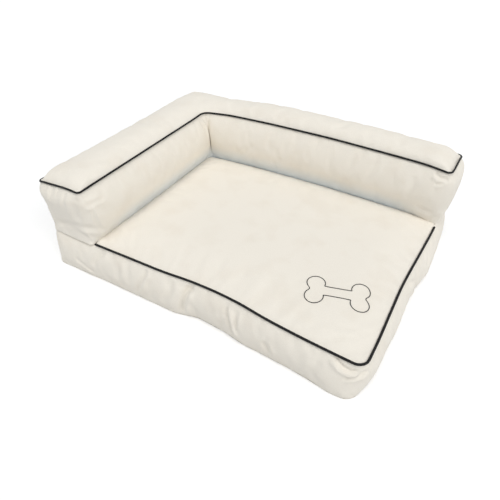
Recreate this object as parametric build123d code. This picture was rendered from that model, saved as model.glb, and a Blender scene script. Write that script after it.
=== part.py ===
from build123d import *
import math
import os

# A corner sofa bed for a dog: a thick foam base in a cream cloth cover, with an
# L-shaped bolster along its left side and its back. Black piping runs round the
# open edge of the seat and round the top of the bolster. Each of the two covers
# has a zip in its rear wall, through which the foam comes out for washing.
# Millimetres. +X runs along the back to the open end, +Y to the back, +Z up.
# The origin is on the floor, in the middle of the footprint.

# Whole bed, measured at the fullest part of its sides
bed_width = 915.0
bed_depth = 690.0
seat_height = 109.0
bolster_height = 265.0
arm_width = 183.0
back_width = 160.0

# Cloth, foam and the room between them
cloth = 2.0
foam_ease = 1.0
crease_clearance = 0.6
base_foam_top = 77.0

# How far the seams draw in from the fullest part of the sides
seat_foot_draw = 10.0
seat_seam_draw = 20.0
bolster_foot_draw = 14.0
bolster_seam_draw = 22.0
front_seam_bow = 12.0
right_seam_bow = 6.0
shoulder_height_share = 0.55
shoulder_draw_share = 0.35

# Corner radii, seen from above, at the fullest part of the sides
base_corner_radius = 42.0
bolster_corner_radius = 31.0
inner_corner_radius = 4.0

# Crowns of the two top panels
seat_crown = 12.0
seat_crown_reach = 90.0
arm_crown = 24.0
back_crown = 28.0
bolster_end_rise = 3.0
bolster_end_reach = 66.0

# Piping: a cord with a flat flange that is sewn into the seam
cord_diameter = 5.0
cord_sides = 8
cord_stand_off = 0.5
flange_thickness = 0.8
flange_depth = 8.0

# Zips: chain, tapes and stops
base_zip_length = 520.0
bolster_zip_length = 380.0
zip_window_height = 20.0
tape_thickness = 0.8
tape_width = 12.5
tape_gap = 4.2
tape_end_allowance = 10.0
tooth_pitch = 5.4
tooth_base = 2.4
tooth_tip = 1.7
tooth_reach = 1.0
tooth_root = 2.4
tooth_thickness = 1.6
stop_length = 3.0
stop_height = 3.4
stop_thickness = 2.6
stop_end_margin = 4.0

# Zips: slider and pull
slider_length = 17.0
slider_front_width = 16.0
slider_rear_width = 12.8
slider_wing = 1.4
slider_rail = 1.4
diamond_length = 5.0
diamond_width = 3.4
bail_length = 7.0
bail_height = 3.6
bail_width = 3.0
bail_thickness = 1.1
pull_bar_diameter = 1.6
pull_arm_length = 7.0
pull_arm_width = 1.5
pull_thickness = 1.4
pull_tab_length = 24.0
pull_tab_width = 8.0
pull_hole_diameter = 4.0
zip_clearance = 0.4

# One overrun serves every cut. The foam bars are mitred at 45 degrees, the arm to the front left.
overrun = 5.0
mitre_turn = 225

# Places worked out from the sizes above
left_x = -bed_width / 2
right_x = bed_width / 2
front_y = -bed_depth / 2
rear_y = bed_depth / 2
arm_face_x = left_x + arm_width
back_face_y = rear_y - back_width
arm_foot_x = arm_face_x - bolster_foot_draw
back_foot_y = back_face_y + bolster_foot_draw
bolster_base = seat_height + cloth
seat_panel_base = seat_height + flange_thickness
bolster_panel_base = bolster_height + flange_thickness
cord_radius = cord_diameter / 2
cord_offset = cord_radius + cord_stand_off
zip_band_height = tape_gap + 2 * tape_width + 2 * zip_clearance
tape_face = tape_thickness / 2
wing_inner = tape_face + zip_clearance
wing_outer = tape_face + tooth_thickness + zip_clearance
wing_top = wing_outer + slider_wing


def closed_face(corners, radii):
    """A face through (x, y, bow) corners: bow is the sagitta of the edge that leaves the corner."""
    edges = []
    for (x, y, bow), (next_x, next_y, _) in zip(corners, corners[1:] + corners[:1]):
        start, end = Vector(x, y), Vector(next_x, next_y)
        along = (end - start).normalized()
        middle = (start + end) / 2 - Vector(along.Y, -along.X) * bow
        edges.append(ThreePointArc(start, middle, end) if bow else Line(start, end))
    face = make_face(edges)
    for (x, y, _), radius in zip(corners, radii):
        if radius > 0:
            face = fillet(face.vertices().sort_by_distance((x, y, 0))[0], radius)
    return face


def base_outline(draw):
    """The base seen from above, drawn in all round, its open front and right edges bowed inward."""
    left, right = left_x + draw, right_x - draw
    front, rear = front_y + draw, rear_y - draw
    corners = [
        (left, front, 0),
        (arm_foot_x, front, front_seam_bow),
        (right, front, right_seam_bow),
        (right, back_foot_y, 0),
        (right, rear, 0),
        (left, rear, 0),
    ]
    radius = base_corner_radius - draw
    return closed_face(corners, [radius, 0, radius, 0, radius, radius])


def bolster_outline(draw):
    """The L-shaped bolster seen from above, drawn in all round."""
    left, right = left_x + draw, right_x - draw
    front, rear = front_y + draw, rear_y - draw
    inner_x, inner_y = arm_face_x - draw, back_face_y + draw
    corners = [
        (left, front, 0),
        (inner_x, front, 0),
        (inner_x, inner_y, 0),
        (right, inner_y, 0),
        (right, rear, 0),
        (left, rear, 0),
    ]
    radius = bolster_corner_radius - draw
    inner = inner_corner_radius + draw
    return closed_face(corners, [radius, radius, inner, radius, radius, radius])


def bar_outline(right, front, draw):
    """A straight bar of the bolster seen from above, from the rear left corner, drawn in all round."""
    corners = [(left_x + draw, front + draw, 0), (right - draw, front + draw, 0),
               (right - draw, rear_y - draw, 0), (left_x + draw, rear_y - draw, 0)]
    return closed_face(corners, [bolster_corner_radius - draw] * len(corners))


def arm_outline(draw):
    return bar_outline(arm_face_x, front_y, draw)


def back_outline(draw):
    return bar_outline(right_x, back_face_y, draw)


def foam_levels(bottom, top, foot_draw, seam_draw):
    """Heights up a side, each with its draw: upright where the zip lies, sloping above and below."""
    middle = (bottom + top) / 2
    return [(bottom, foot_draw), (middle - zip_band_height / 2, 0), (middle + zip_band_height / 2, 0),
            (top, seam_draw)]


def cover_levels(bottom, top, foot_draw, seam_draw):
    """The same with a shoulder, where the cloth rounds over to its top seam."""
    foot, low, high, seam = foam_levels(bottom, top, foot_draw, seam_draw)
    shoulder = high[0] + (top - high[0]) * shoulder_height_share
    return [foot, low, high, (shoulder, seam_draw * shoulder_draw_share), seam]


def swollen(outline, levels, skin):
    """A block whose sides pass through the given heights and draws, inside a skin."""
    bottom, foot_draw = levels[0]
    face = Pos(0, 0, bottom) * outline(foot_draw + skin)
    block = None
    for (low, low_draw), (high, high_draw) in zip(levels, levels[1:]):
        lean = math.degrees(math.atan2(high_draw - low_draw, high - low))
        slab = extrude(face, amount=high - low, taper=lean)
        block = slab if block is None else block + slab
        face = make_face(slab.faces().sort_by(Axis.Z)[-1].outer_wire())
    return block


def region(x_low, x_high, y_low, y_high, z_low, z_high):
    """A box between two corners."""
    middle = Pos((x_low + x_high) / 2, (y_low + y_high) / 2, (z_low + z_high) / 2)
    return middle * Box(x_high - x_low, y_high - y_low, z_high - z_low)


def rolled_profile(low, high, crown, reach):
    """A flat-topped profile that rolls down over a reach to just outside each end."""
    low, high = low - cloth, high + cloth
    roll = (reach ** 2 + crown ** 2) / (2 * crown)
    half_angle = math.asin(reach / roll) / 2
    shoulder_x = reach - roll * math.sin(half_angle)
    shoulder_y = crown - roll * (1 - math.cos(half_angle))
    return make_face([
        Line((low, 0), (high, 0)),
        ThreePointArc((high, 0), (high - shoulder_x, shoulder_y), (high - reach, crown)),
        Line((high - reach, crown), (low + reach, crown)),
        ThreePointArc((low + reach, crown), (low + shoulder_x, shoulder_y), (low, 0)),
    ])


def arched_profile(low, high, crown):
    """An arch that stands just outside each end."""
    low, high = low - cloth, high + cloth
    arch = ThreePointArc((high, 0), ((low + high) / 2, crown), (low, 0))
    return make_face([Line((low, 0), (high, 0)), arch])


def along_y(profile, low, high, base):
    """A profile across the bed, run along Y past both ends."""
    start = Pos(0, low - overrun, base)
    return start * extrude(Plane.XZ * profile, amount=high - low + 2 * overrun, dir=(0, 1, 0))


def along_x(profile, low, high, base):
    """A profile from front to back, run along X past both ends."""
    start = Pos(low - overrun, 0, base)
    return start * extrude(Plane.YZ * profile, amount=high - low + 2 * overrun, dir=(1, 0, 0))


def pipe(path, flange):
    """A cord along a path, joined to the flange that is sewn into the seam."""
    section = Plane(origin=path @ 0, z_dir=path % 0) * RegularPolygon(cord_radius, cord_sides)
    return sweep(section, path=path) + flange


# Base cover and its foam

base_side = (cloth, seat_height, seat_foot_draw, seat_seam_draw)
bolster_side = (bolster_base, bolster_height, bolster_foot_draw, bolster_seam_draw)


def make_bottom_panel():
    return extrude(base_outline(seat_foot_draw), amount=cloth)


def seat_area(draw):
    """The part of the seat that the bolster leaves open, drawn in at its open edges."""
    return base_outline(draw) - bolster_outline(bolster_foot_draw - crease_clearance)


def seat_crown_block(draw, base):
    """The crowned top of the seat, standing on its own thin edge."""
    right, front = right_x - draw, front_y + draw
    across = rolled_profile(arm_foot_x, right, seat_crown, seat_crown_reach)
    deep = rolled_profile(front, back_foot_y, seat_crown, seat_crown_reach)
    crown = along_y(across, front, back_foot_y, base) & along_x(deep, arm_foot_x, right, base)
    limit = Pos(0, 0, base) * extrude(seat_area(draw), amount=seat_crown)
    edge = Pos(0, 0, base) * extrude(seat_area(draw), amount=cloth)
    return (crown & limit) + edge


def make_seat_panel():
    crown = seat_crown_block(seat_seam_draw, seat_panel_base)
    return crown - Pos(0, 0, -cloth) * crown


def base_foam_block():
    return swollen(base_outline, foam_levels(*base_side), cloth + foam_ease)


def make_base_foam():
    return (base_foam_block() & slab_between(cloth, base_foam_top)) - zip_relief(base_zip_place())


def make_comfort_foam():
    """The soft layer under the seat, crowned like it inside the piping's flange."""
    layer = base_foam_block() & slab_between(base_foam_top, seat_height)
    crown = Pos(0, 0, -cloth) * seat_crown_block(seat_seam_draw + flange_depth, seat_panel_base)
    return layer + (crown & slab_between(seat_height, bolster_height))


def slab_between(low, high):
    return region(left_x, right_x, front_y, rear_y, low, high)


def make_deck_lining():
    return Pos(0, 0, seat_height) * extrude(bolster_outline(bolster_foot_draw), amount=cloth)


def seat_flange():
    """The flat flange along the open edge of the seat."""
    ring = base_outline(seat_seam_draw - cord_offset) - base_outline(seat_seam_draw + flange_depth)
    strip = Pos(0, 0, seat_height) * extrude(ring, amount=flange_thickness)
    return strip & region(arm_foot_x, right_x, front_y, back_foot_y, seat_height, seat_panel_base)


def make_seat_piping():
    edges = base_outline(seat_seam_draw - cord_offset).face().outer_wire().edges()
    shown = [e for e in edges if (e @ 0.5).X > arm_foot_x and (e @ 0.5).Y < back_foot_y]
    path = Pos(0, 0, seat_height + flange_thickness / 2) * Wire(shown)
    return pipe(path, seat_flange())


def rear_panel_box(low, high, corner_radius):
    """The space of a rear wall between its two corner seams."""
    return region(left_x + corner_radius, right_x - corner_radius, rear_y - corner_radius,
                  rear_y + overrun, low - overrun, high + overrun)


def make_base_bands():
    levels = cover_levels(*base_side)
    wall = swollen(base_outline, levels, 0) - swollen(base_outline, levels, cloth)
    rear_box = rear_panel_box(cloth, seat_height, base_corner_radius)
    window = zip_window(base_zip_place())
    return wall - rear_box, (wall & rear_box) - window


# Bolster cover and its foam

def arm_crown_block(draw, base):
    """The arched top of the arm, rolled down at its front and rear ends."""
    ends = rolled_profile(front_y + draw, rear_y - draw, arm_crown + bolster_end_rise, bolster_end_reach)
    arch = along_y(arched_profile(left_x + draw, arm_face_x - draw, arm_crown), front_y, rear_y, base)
    return arch & along_x(ends, left_x, arm_face_x, base)


def back_crown_block(draw, base):
    """The arched top of the back, rolled down at its left and right ends."""
    ends = rolled_profile(left_x + draw, right_x - draw, back_crown + bolster_end_rise, bolster_end_reach)
    arch = along_x(arched_profile(back_face_y + draw, rear_y - draw, back_crown), left_x, right_x, base)
    return arch & along_y(ends, back_face_y, rear_y, base)


def make_bolster_top_panel():
    """One panel over arm and back, whose two arches meet in a mitre."""
    outline = bolster_outline(bolster_seam_draw)
    arches = arm_crown_block(bolster_seam_draw, bolster_panel_base)
    arches += back_crown_block(bolster_seam_draw, bolster_panel_base)
    limit = Pos(0, 0, bolster_panel_base) * extrude(outline, amount=back_crown)
    edge = Pos(0, 0, bolster_panel_base) * extrude(outline, amount=cloth)
    crown = (arches & limit) + edge
    return crown - Pos(0, 0, -cloth) * crown


def foam_bar(outline, crown_block):
    """A straight foam bar: its sides follow the cover, and its crown fits inside the flange."""
    bar = swollen(outline, foam_levels(*bolster_side), cloth + foam_ease)
    draw = bolster_seam_draw + flange_depth
    limit = Pos(0, 0, bolster_height) * extrude(outline(draw), amount=back_crown)
    return bar + (Pos(0, 0, -cloth) * crown_block(draw, bolster_panel_base) & limit)


def make_bolster_foams():
    """Two bars, mitred where arm and back meet at the rear left corner."""
    reach = bed_width + bed_depth
    half_space = region(0, reach, -reach, reach, 0, bolster_panel_base + back_crown)
    arm_side = Pos(arm_face_x, back_face_y, 0) * (Rot(0, 0, mitre_turn) * half_space)
    arm = foam_bar(arm_outline, arm_crown_block) & arm_side
    back = foam_bar(back_outline, back_crown_block) - arm_side
    return arm, back - zip_relief(bolster_zip_place())


def make_bolster_bands():
    """The rear wall with its zip, and the arm and back walls that meet at the inner corner seam."""
    levels = cover_levels(*bolster_side)
    wall = swollen(bolster_outline, levels, 0) - swollen(bolster_outline, levels, cloth)
    rear_box = rear_panel_box(bolster_base, bolster_height, bolster_corner_radius)
    rest = wall - rear_box
    arm_side = region(left_x - overrun, arm_face_x, front_y - overrun, rear_y + overrun,
                      bolster_base - overrun, bolster_height + overrun)
    rear = (wall & rear_box) - zip_window(bolster_zip_place())
    return rest & arm_side, rest - arm_side, rear


def bolster_flange():
    """The flat flange all round the top of the bolster."""
    outer = bolster_outline(bolster_seam_draw - cord_offset)
    inner = bolster_outline(bolster_seam_draw + flange_depth)
    return Pos(0, 0, bolster_height) * extrude(outer - inner, amount=flange_thickness)


def make_bolster_piping():
    loop = bolster_outline(bolster_seam_draw - cord_offset).face().outer_wire()
    return pipe(Pos(0, 0, bolster_height + flange_thickness / 2) * loop, bolster_flange())


# Zips. Each is drawn round the middle of its chain: X along it, Y out of the cover, Z up.

def zip_y():
    """The middle of a tape that is sewn to the inner face of a rear wall."""
    return rear_y - cloth - tape_face


def base_zip_place():
    return base_zip_length, Pos(0, zip_y(), (cloth + seat_height) / 2)


def bolster_zip_place():
    return bolster_zip_length, Pos((arm_face_x + right_x) / 2, zip_y(), (bolster_base + bolster_height) / 2)


def zip_window(place):
    """The opening in a rear wall that shows the chain."""
    length, centre = place
    return centre * Box(length, cloth + tape_thickness + overrun, zip_window_height)


def zip_relief(place):
    """The groove that the inner wing of the slider presses into the foam."""
    length, centre = place
    depth = wing_inner + slider_wing + zip_clearance
    return centre * Pos(0, -depth / 2 + overrun / 2, 0) * Box(length, depth + overrun, zip_window_height)


def stop_x(length):
    """Middle of the top stops, at the closed end of the zip."""
    return length / 2 - stop_end_margin


def slider_x(length):
    """Front end of the slider when the zip is closed."""
    return stop_x(length) - stop_length / 2 - zip_clearance


def chain_ends(length):
    """Where the teeth begin and end: at the bottom stop, and behind the slider's diamond."""
    low = -length / 2 + stop_end_margin + stop_length / 2 + zip_clearance
    high = slider_x(length) - slider_wing - diamond_length - zip_clearance
    return low, high


def tape_plate(length):
    half_gap = tape_gap / 2
    reach = length / 2 + tape_end_allowance
    return region(-reach, reach, -tape_face, tape_face, half_gap, half_gap + tape_width)


def tooth_row(length, shift):
    """The teeth of the upper tape, each set on the tape's face and reaching past the middle."""
    low, high = chain_ends(length)
    count = int((high - low - shift - tooth_base) / tooth_pitch) + 1
    tip_z, root_z = -tooth_reach, tape_gap / 2 + tooth_root
    outline = Polyline((-tooth_base / 2, root_z), (-tooth_tip / 2, tip_z),
                       (tooth_tip / 2, tip_z), (tooth_base / 2, root_z), close=True)
    tooth = raised(make_face(outline), tape_face, tape_face + tooth_thickness)
    first = low + shift + tooth_base / 2
    return Compound([Pos(first + index * tooth_pitch, 0, 0) * tooth.solid() for index in range(count)])


def raised(face, low, high):
    """A face seen from outside, given a thickness between two depths."""
    return Pos(0, low, 0) * extrude(Plane.XZ * face, amount=high - low, dir=(0, 1, 0))


def flipped(shape):
    """The same shape on the other side of the chain."""
    return mirror(shape, about=Plane.XY)


def make_top_stops(length):
    """Two clamps, one on each tape edge, just past the closed slider."""
    low_z = tape_gap / 4
    clamp = region(stop_x(length) - stop_length / 2, stop_x(length) + stop_length / 2,
                   -stop_thickness / 2, stop_thickness / 2, low_z, low_z + stop_height)
    upper = clamp - tape_plate(length)
    return Compound([upper.solid(), flipped(upper.solid())])


def make_bottom_stop(length):
    """One clamp across both tapes at the other end."""
    middle = -stop_x(length)
    reach = tape_gap / 2 + stop_height / 2
    clamp = region(middle - stop_length / 2, middle + stop_length / 2,
                   -stop_thickness / 2, stop_thickness / 2, -reach, reach)
    return clamp - tape_plate(length) - flipped(tape_plate(length))


def slider_plan():
    """One wing seen from outside: wide shoulders in front, narrow behind."""
    half_front, half_rear = slider_front_width / 2, slider_rear_width / 2
    shoulder = slider_length / 2
    outline = Polyline((0, half_front - slider_rail), (-slider_rail, half_front), (-shoulder, half_rear),
                       (-slider_length, half_rear), (-slider_length, -half_rear), (-shoulder, -half_rear),
                       (-slider_rail, -half_front), (0, -half_front + slider_rail), close=True)
    return make_face(outline)


def make_slider():
    """Two wings joined by the diamond, rails that keep the tapes in, and the bail for the pull."""
    plan = slider_plan()
    inside = offset(plan, amount=-slider_rail, kind=Kind.INTERSECTION)
    mouth = Pos(-slider_length / 2, 0) * Rectangle(slider_length * 2, slider_rear_width - 2 * slider_rail)
    front = Pos(-slider_rail / 2, 0) * Rectangle(slider_rail * 2, slider_front_width - 2 * slider_rail)
    rails = plan - inside - mouth - front
    body = raised(plan, wing_outer, wing_top) + raised(plan, -wing_inner - slider_wing, -wing_inner)
    body += raised(rails, wing_inner, wing_outer)
    point, shoulder, half_width = diamond_length / 2, diamond_length / 4, diamond_width / 2
    diamond = Pos(-slider_wing - point, 0) * make_face(Polyline(
        (point, 0), (shoulder, half_width), (-shoulder, half_width),
        (-point, 0), (-shoulder, -half_width), (shoulder, -half_width), close=True))
    return body + raised(diamond, -wing_inner, wing_outer) + make_bail()


def bail_x():
    """Middle of the bail, from the slider's front end."""
    return -slider_length / 2


def make_bail():
    """The bridge that holds the pull: a rounded loop standing on the outer wing."""
    top = wing_top
    low, high = bail_x() - bail_length / 2, bail_x() + bail_length / 2
    loop = make_face([
        Line((low, top), (high, top)),
        Line((high, top), (high, top + bail_height / 2)),
        ThreePointArc((high, top + bail_height / 2), (bail_x(), top + bail_height),
                      (low, top + bail_height / 2)),
        Line((low, top + bail_height / 2), (low, top)),
    ])
    eye = offset(loop, amount=-bail_thickness, kind=Kind.INTERSECTION)
    foot_length = bail_length - 2 * bail_thickness
    foot = Pos(bail_x(), top + bail_thickness / 2) * Rectangle(foot_length, bail_thickness)
    outline = loop - eye - foot
    return extrude(outline, amount=bail_width / 2, both=True)


def pull_pivot():
    """The pull's pivot, in the slider's own place: X from its front end, Y out of the tape."""
    return bail_x(), wing_top + zip_clearance + pull_bar_diameter / 2


def make_pull():
    """The cross bar under the bail, two arms beside it, and the tab with its hole."""
    x, y = pull_pivot()
    half_eye = bail_width / 2 + zip_clearance
    outer = half_eye + pull_arm_width
    bar = Pos(x, y, 0) * Cylinder(pull_bar_diameter / 2, 2 * outer)
    tab_start = x - pull_arm_length
    tab_end = tab_start - pull_tab_length
    half_tab = pull_tab_width / 2
    chamfer = pull_arm_width
    plate = make_face(Polyline(
        (x, outer), (tab_start, outer), (tab_start - chamfer, half_tab), (tab_end + chamfer, half_tab),
        (tab_end, half_tab - chamfer), (tab_end, chamfer - half_tab), (tab_end + chamfer, -half_tab),
        (tab_start - chamfer, -half_tab), (tab_start, -outer), (x, -outer), close=True))
    gap_length = pull_arm_length + overrun
    gap = Pos(tab_start + gap_length / 2, 0) * Rectangle(gap_length, 2 * half_eye)
    hole = Pos(tab_end + pull_hole_diameter, 0) * Circle(pull_hole_diameter / 2)
    tab = raised(plate - gap - hole, y - pull_thickness / 2, y + pull_thickness / 2)
    return bar + tab


def make_zip(name, place):
    """The pieces of one zip, in place on its rear wall."""
    length, centre = place
    slider_place = centre * Pos(slider_x(length), 0, 0)
    return {
        name + "_zip_upper_tape": centre * tape_plate(length),
        name + "_zip_lower_tape": centre * flipped(tape_plate(length)),
        name + "_zip_upper_teeth": centre * tooth_row(length, 0),
        name + "_zip_lower_teeth": centre * flipped(tooth_row(length, tooth_pitch / 2)),
        name + "_zip_top_stops": centre * make_top_stops(length),
        name + "_zip_bottom_stop": centre * make_bottom_stop(length),
        name + "_zip_slider": slider_place * make_slider(),
        name + "_zip_pull": slider_place * make_pull(),
    }


def make_parts():
    side_band, rear_band = make_base_bands()
    arm_band, back_band, bolster_rear_band = make_bolster_bands()
    arm_foam, back_foam = make_bolster_foams()
    parts = {
        "bottom_panel": make_bottom_panel(),
        "base_foam": make_base_foam(),
        "comfort_foam": make_comfort_foam(),
        "side_band": side_band,
        "rear_band": rear_band,
        "seat_panel": make_seat_panel(),
        "deck_lining": make_deck_lining(),
        "seat_piping": make_seat_piping(),
        "arm_foam": arm_foam,
        "back_foam": back_foam,
        "arm_band": arm_band,
        "back_band": back_band,
        "bolster_rear_band": bolster_rear_band,
        "bolster_top_panel": make_bolster_top_panel(),
        "bolster_piping": make_bolster_piping(),
    }
    parts.update(make_zip("base", base_zip_place()))
    parts.update(make_zip("bolster", bolster_zip_place()))
    return parts


def report_joints(name, place):
    """Prints where the slider runs and the pull turns, for the record."""
    length, centre = place
    x, y = pull_pivot()
    pivot = (centre * Pos(slider_x(length) + x, y, 0)).position
    travel = slider_x(length) - slider_length + stop_x(length) - stop_length / 2 - zip_clearance
    print(name, "pull pivot", [round(v, 3) for v in pivot], "slider travel", round(travel, 3))


os.makedirs("parts", exist_ok=True)
for node, shape in make_parts().items():
    export_step(shape, os.path.join("parts", node + ".step"))
report_joints("base zip", base_zip_place())
report_joints("bolster zip", bolster_zip_place())
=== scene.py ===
import math
from contextlib import contextmanager

import bmesh
import bpy
import numpy as np
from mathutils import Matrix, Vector, noise
from mathutils.bvhtree import BVHTree
from mathutils.kdtree import KDTree


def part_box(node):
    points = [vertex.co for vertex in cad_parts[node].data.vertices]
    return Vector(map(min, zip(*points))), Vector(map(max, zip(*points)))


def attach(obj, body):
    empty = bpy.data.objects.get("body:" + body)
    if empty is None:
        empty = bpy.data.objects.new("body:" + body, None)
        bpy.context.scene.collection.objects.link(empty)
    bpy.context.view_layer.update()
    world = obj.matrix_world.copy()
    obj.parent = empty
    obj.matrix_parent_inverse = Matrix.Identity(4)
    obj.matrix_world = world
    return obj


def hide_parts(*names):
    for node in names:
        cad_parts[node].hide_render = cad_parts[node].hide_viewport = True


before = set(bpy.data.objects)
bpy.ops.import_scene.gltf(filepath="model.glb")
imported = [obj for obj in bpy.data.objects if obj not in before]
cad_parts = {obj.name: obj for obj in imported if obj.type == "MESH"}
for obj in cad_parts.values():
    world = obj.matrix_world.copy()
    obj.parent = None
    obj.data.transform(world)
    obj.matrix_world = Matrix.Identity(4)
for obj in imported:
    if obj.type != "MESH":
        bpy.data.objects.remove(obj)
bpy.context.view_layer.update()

# A corner sofa bed for a dog: crowned cushions of cream canvas with black piping.
# Metres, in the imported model's frame: +X along the back, +Y to the back, +Z up.

X, Y, Z = 0, 1, 2
LOW, HIGH = 0, 1


def limit(node, side, axis):
    """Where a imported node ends, to a tenth of a millimetre."""
    return round(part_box(node)[side][axis], 4)


# Sizes of the bed at the fullest part of its sides, and the heights of its seams
HALF_WIDTH, HALF_DEPTH = limit("side_band", HIGH, X), limit("side_band", HIGH, Y)
ARM_FACE_X, BACK_FACE_Y = limit("arm_band", HIGH, X), 0.185
SEAT_SEAM_Z, BOLSTER_SEAM_Z = limit("side_band", HIGH, Z), limit("arm_band", HIGH, Z)
BOLSTER_FOOT_Z, BOTTOM_Z = 0.1095, 0.0016
# How far in the seams lie from the fullest outline
SEAT_DRAW, FOOT_DRAW, TOP_DRAW, INNER_FOOT_DRAW = 0.020, 0.0165, 0.022, 0.014
ARM_FOOT_X = round(ARM_FACE_X - INNER_FOOT_DRAW, 4)
BACK_FOOT_Y = round(BACK_FACE_Y + INNER_FOOT_DRAW, 4)
BASE_RADIUS, BOLSTER_RADIUS, INNER_RADIUS = 0.042, 0.031, 0.004
SEAT_CORD_RADIUS, BOLSTER_CORD_RADIUS = 0.0029, 0.0025
# The crease where the seat goes under the bolster: how far in, how high it lifts, and its columns at the side
CREASE_TUCK, CREASE_LIFT, END_COLUMNS = 0.003, 0.005, 2

# Grid counts: corner, base front and side runs, bolster runs, rows of the walls
CORNER = 8
HALF_CORNER = CORNER // 2
FRONT_UNDER, FRONT_OPEN = 16, 92
SIDE_OPEN, SIDE_UNDER = 66, 14
END, ARM_RUN, BACK_RUN = 16, 66, 92
BASE_ROWS, BOLSTER_ROWS = 16, 22
# How much closer a wall's rows lie beside its seams, and how often values are eased along walls and cords
ROW_SHIFT, WALL_EASING, CORD_EASING, ROW_EASING = 0.055, 10, 6, 3


# Closed outlines: each column has a place on the fullest outline and an outward direction

class Loop:
    """A closed outline seen from above, as columns that can be drawn in."""

    def __init__(self):
        self.points, self.normals, self.spans = [], [], {}

    def add(self, name, points, normals):
        self.spans[name] = (len(self.points), len(self.points) + len(points))
        self.points += points
        self.normals += normals

    def run(self, name, start, end, count, normal):
        start, end = np.array(start), np.array(end)
        self.add(name, [start + (end - start) * (i / count) for i in range(count)], [normal] * count)

    def corner(self, name, centre, radius, first, last, side=1):
        points, normals = [], []
        for i in range(CORNER):
            angle = math.radians(first + (last - first) * i / CORNER)
            x, y = math.cos(angle), math.sin(angle)
            points.append((centre[0] + radius * x, centre[1] + radius * y))
            normals.append((side * x, side * y))
        self.add(name, points, normals)

    def close(self, r, rear_count, left_count):
        """Adds the corners and runs behind and at the left, with corners of radius r, and ends the loop."""
        left, right, front, rear = -HALF_WIDTH, HALF_WIDTH, -HALF_DEPTH, HALF_DEPTH
        self.corner("rear_right", (right - r, rear - r), r, 0, 90)
        self.run("rear", (right - r, rear), (left + r, rear), rear_count, (0, 1))
        self.corner("rear_left", (left + r, rear - r), r, 90, 180)
        self.run("left", (left, rear - r), (left, front + r), left_count, (-1, 0))
        self.corner("front_left", (left + r, front + r), r, 180, 270)
        self.points = np.array(self.points)
        self.normals = np.array(self.normals)
        steps = np.linalg.norm(np.roll(self.points, -1, 0) - self.points, axis=1)
        self.along = np.concatenate([[0], np.cumsum(steps)])
        return self

    def walk(self, first, last, first_shift=0, last_shift=0):
        """Column indices from the start of one span to the start of another, forwards, round the loop."""
        count = len(self.points)
        start, end = self.spans[first][0] + first_shift, self.spans[last][0] + last_shift
        end = end if end >= start else end + count
        return [i % count for i in range(start, end + 1)]

    def between_corners(self, first, last):
        """Column indices from the middle of one corner to the middle of another."""
        return self.walk(first, last, HALF_CORNER, HALF_CORNER)


def base_loop():
    left, right, front, rear, r = -HALF_WIDTH, HALF_WIDTH, -HALF_DEPTH, HALF_DEPTH, BASE_RADIUS
    loop = Loop()
    loop.run("front_under", (left + r, front), (ARM_FOOT_X, front), FRONT_UNDER, (0, -1))
    loop.run("front_open", (ARM_FOOT_X, front), (right - r, front), FRONT_OPEN, (0, -1))
    loop.corner("front_right", (right - r, front + r), r, -90, 0)
    loop.run("side_open", (right, front + r), (right, BACK_FOOT_Y), SIDE_OPEN, (1, 0))
    loop.run("side_under", (right, BACK_FOOT_Y), (right, rear - r), SIDE_UNDER, (1, 0))
    return loop.close(r, FRONT_UNDER + FRONT_OPEN, SIDE_OPEN + SIDE_UNDER)


def bolster_loop():
    left, right, front, rear, r = -HALF_WIDTH, HALF_WIDTH, -HALF_DEPTH, HALF_DEPTH, BOLSTER_RADIUS
    arm, back, inner = ARM_FACE_X, BACK_FACE_Y, INNER_RADIUS
    loop = Loop()
    loop.run("front_end", (left + r, front), (arm - r, front), END, (0, -1))
    loop.corner("front_inner", (arm - r, front + r), r, -90, 0)
    loop.run("arm_inner", (arm, front + r), (arm, back - inner), ARM_RUN, (1, 0))
    loop.corner("inner", (arm + inner, back - inner), inner, 180, 90, -1)
    loop.run("back_inner", (arm + inner, back), (right - r, back), BACK_RUN, (0, -1))
    loop.corner("right_inner", (right - r, back + r), r, -90, 0)
    loop.run("right_end", (right, back + r), (right, rear - r), END, (1, 0))
    return loop.close(r, BACK_RUN, ARM_RUN)


def spread(loop, values, easing):
    """A value for each column, from values named by span, eased from one span into the next."""
    column = np.zeros(len(loop.points))
    for name, (first, last) in loop.spans.items():
        column[first:last] = values.get(name, values["rest"])
    for _ in range(easing):
        column = (np.roll(column, 1) + column * 2 + np.roll(column, -1)) / 4
    return column


def wall_grid(loop, rows, low, high, levels):
    """Points [column][row] of a wall and its heights in cloth.
    levels says, for shares of the height, how far each named span is drawn in there."""
    share = np.linspace(0, 1, rows + 1)
    lift = share - ROW_SHIFT * np.sin(2 * np.pi * share)
    places = [place for place, _ in levels]
    weights = np.array([np.interp(lift, places, unit) for unit in np.eye(len(levels))])
    for _ in range(ROW_EASING):
        weights[:, 1:-1] = (weights[:, :-2] + 2 * weights[:, 1:-1] + weights[:, 2:]) / 4
    draw = np.array([spread(loop, named, WALL_EASING) for _, named in levels]).T @ weights
    z = low + (high - low) * lift
    height = np.concatenate([[0], np.cumsum(np.hypot(np.diff(z), np.diff(draw.mean(0))))])
    plan = loop.points[:, None, :] - loop.normals[:, None, :] * draw[:, :, None]
    points = np.concatenate([plan, np.broadcast_to(z[None, :, None], plan.shape[:2] + (1,))], axis=2)
    return points, height


def patch(bottom, top, left, right, decay=1):
    """A grid [u][v] inside four borders. A greater decay keeps the ends' form near them."""
    u = np.linspace(0, 1, len(bottom))[:, None, None]
    v = np.linspace(0, 1, len(left))[None, :, None]
    bottom, top, left, right = bottom[:, None, :], top[:, None, :], left[None, :, :], right[None, :, :]
    ruled = (1 - v) * bottom + v * top
    start, end = (side - ((1 - v) * side[:, :1] + v * side[:, -1:]) for side in (left, right))
    return ruled + (1 - u) ** decay * start + u ** decay * end


# Meshes

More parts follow.
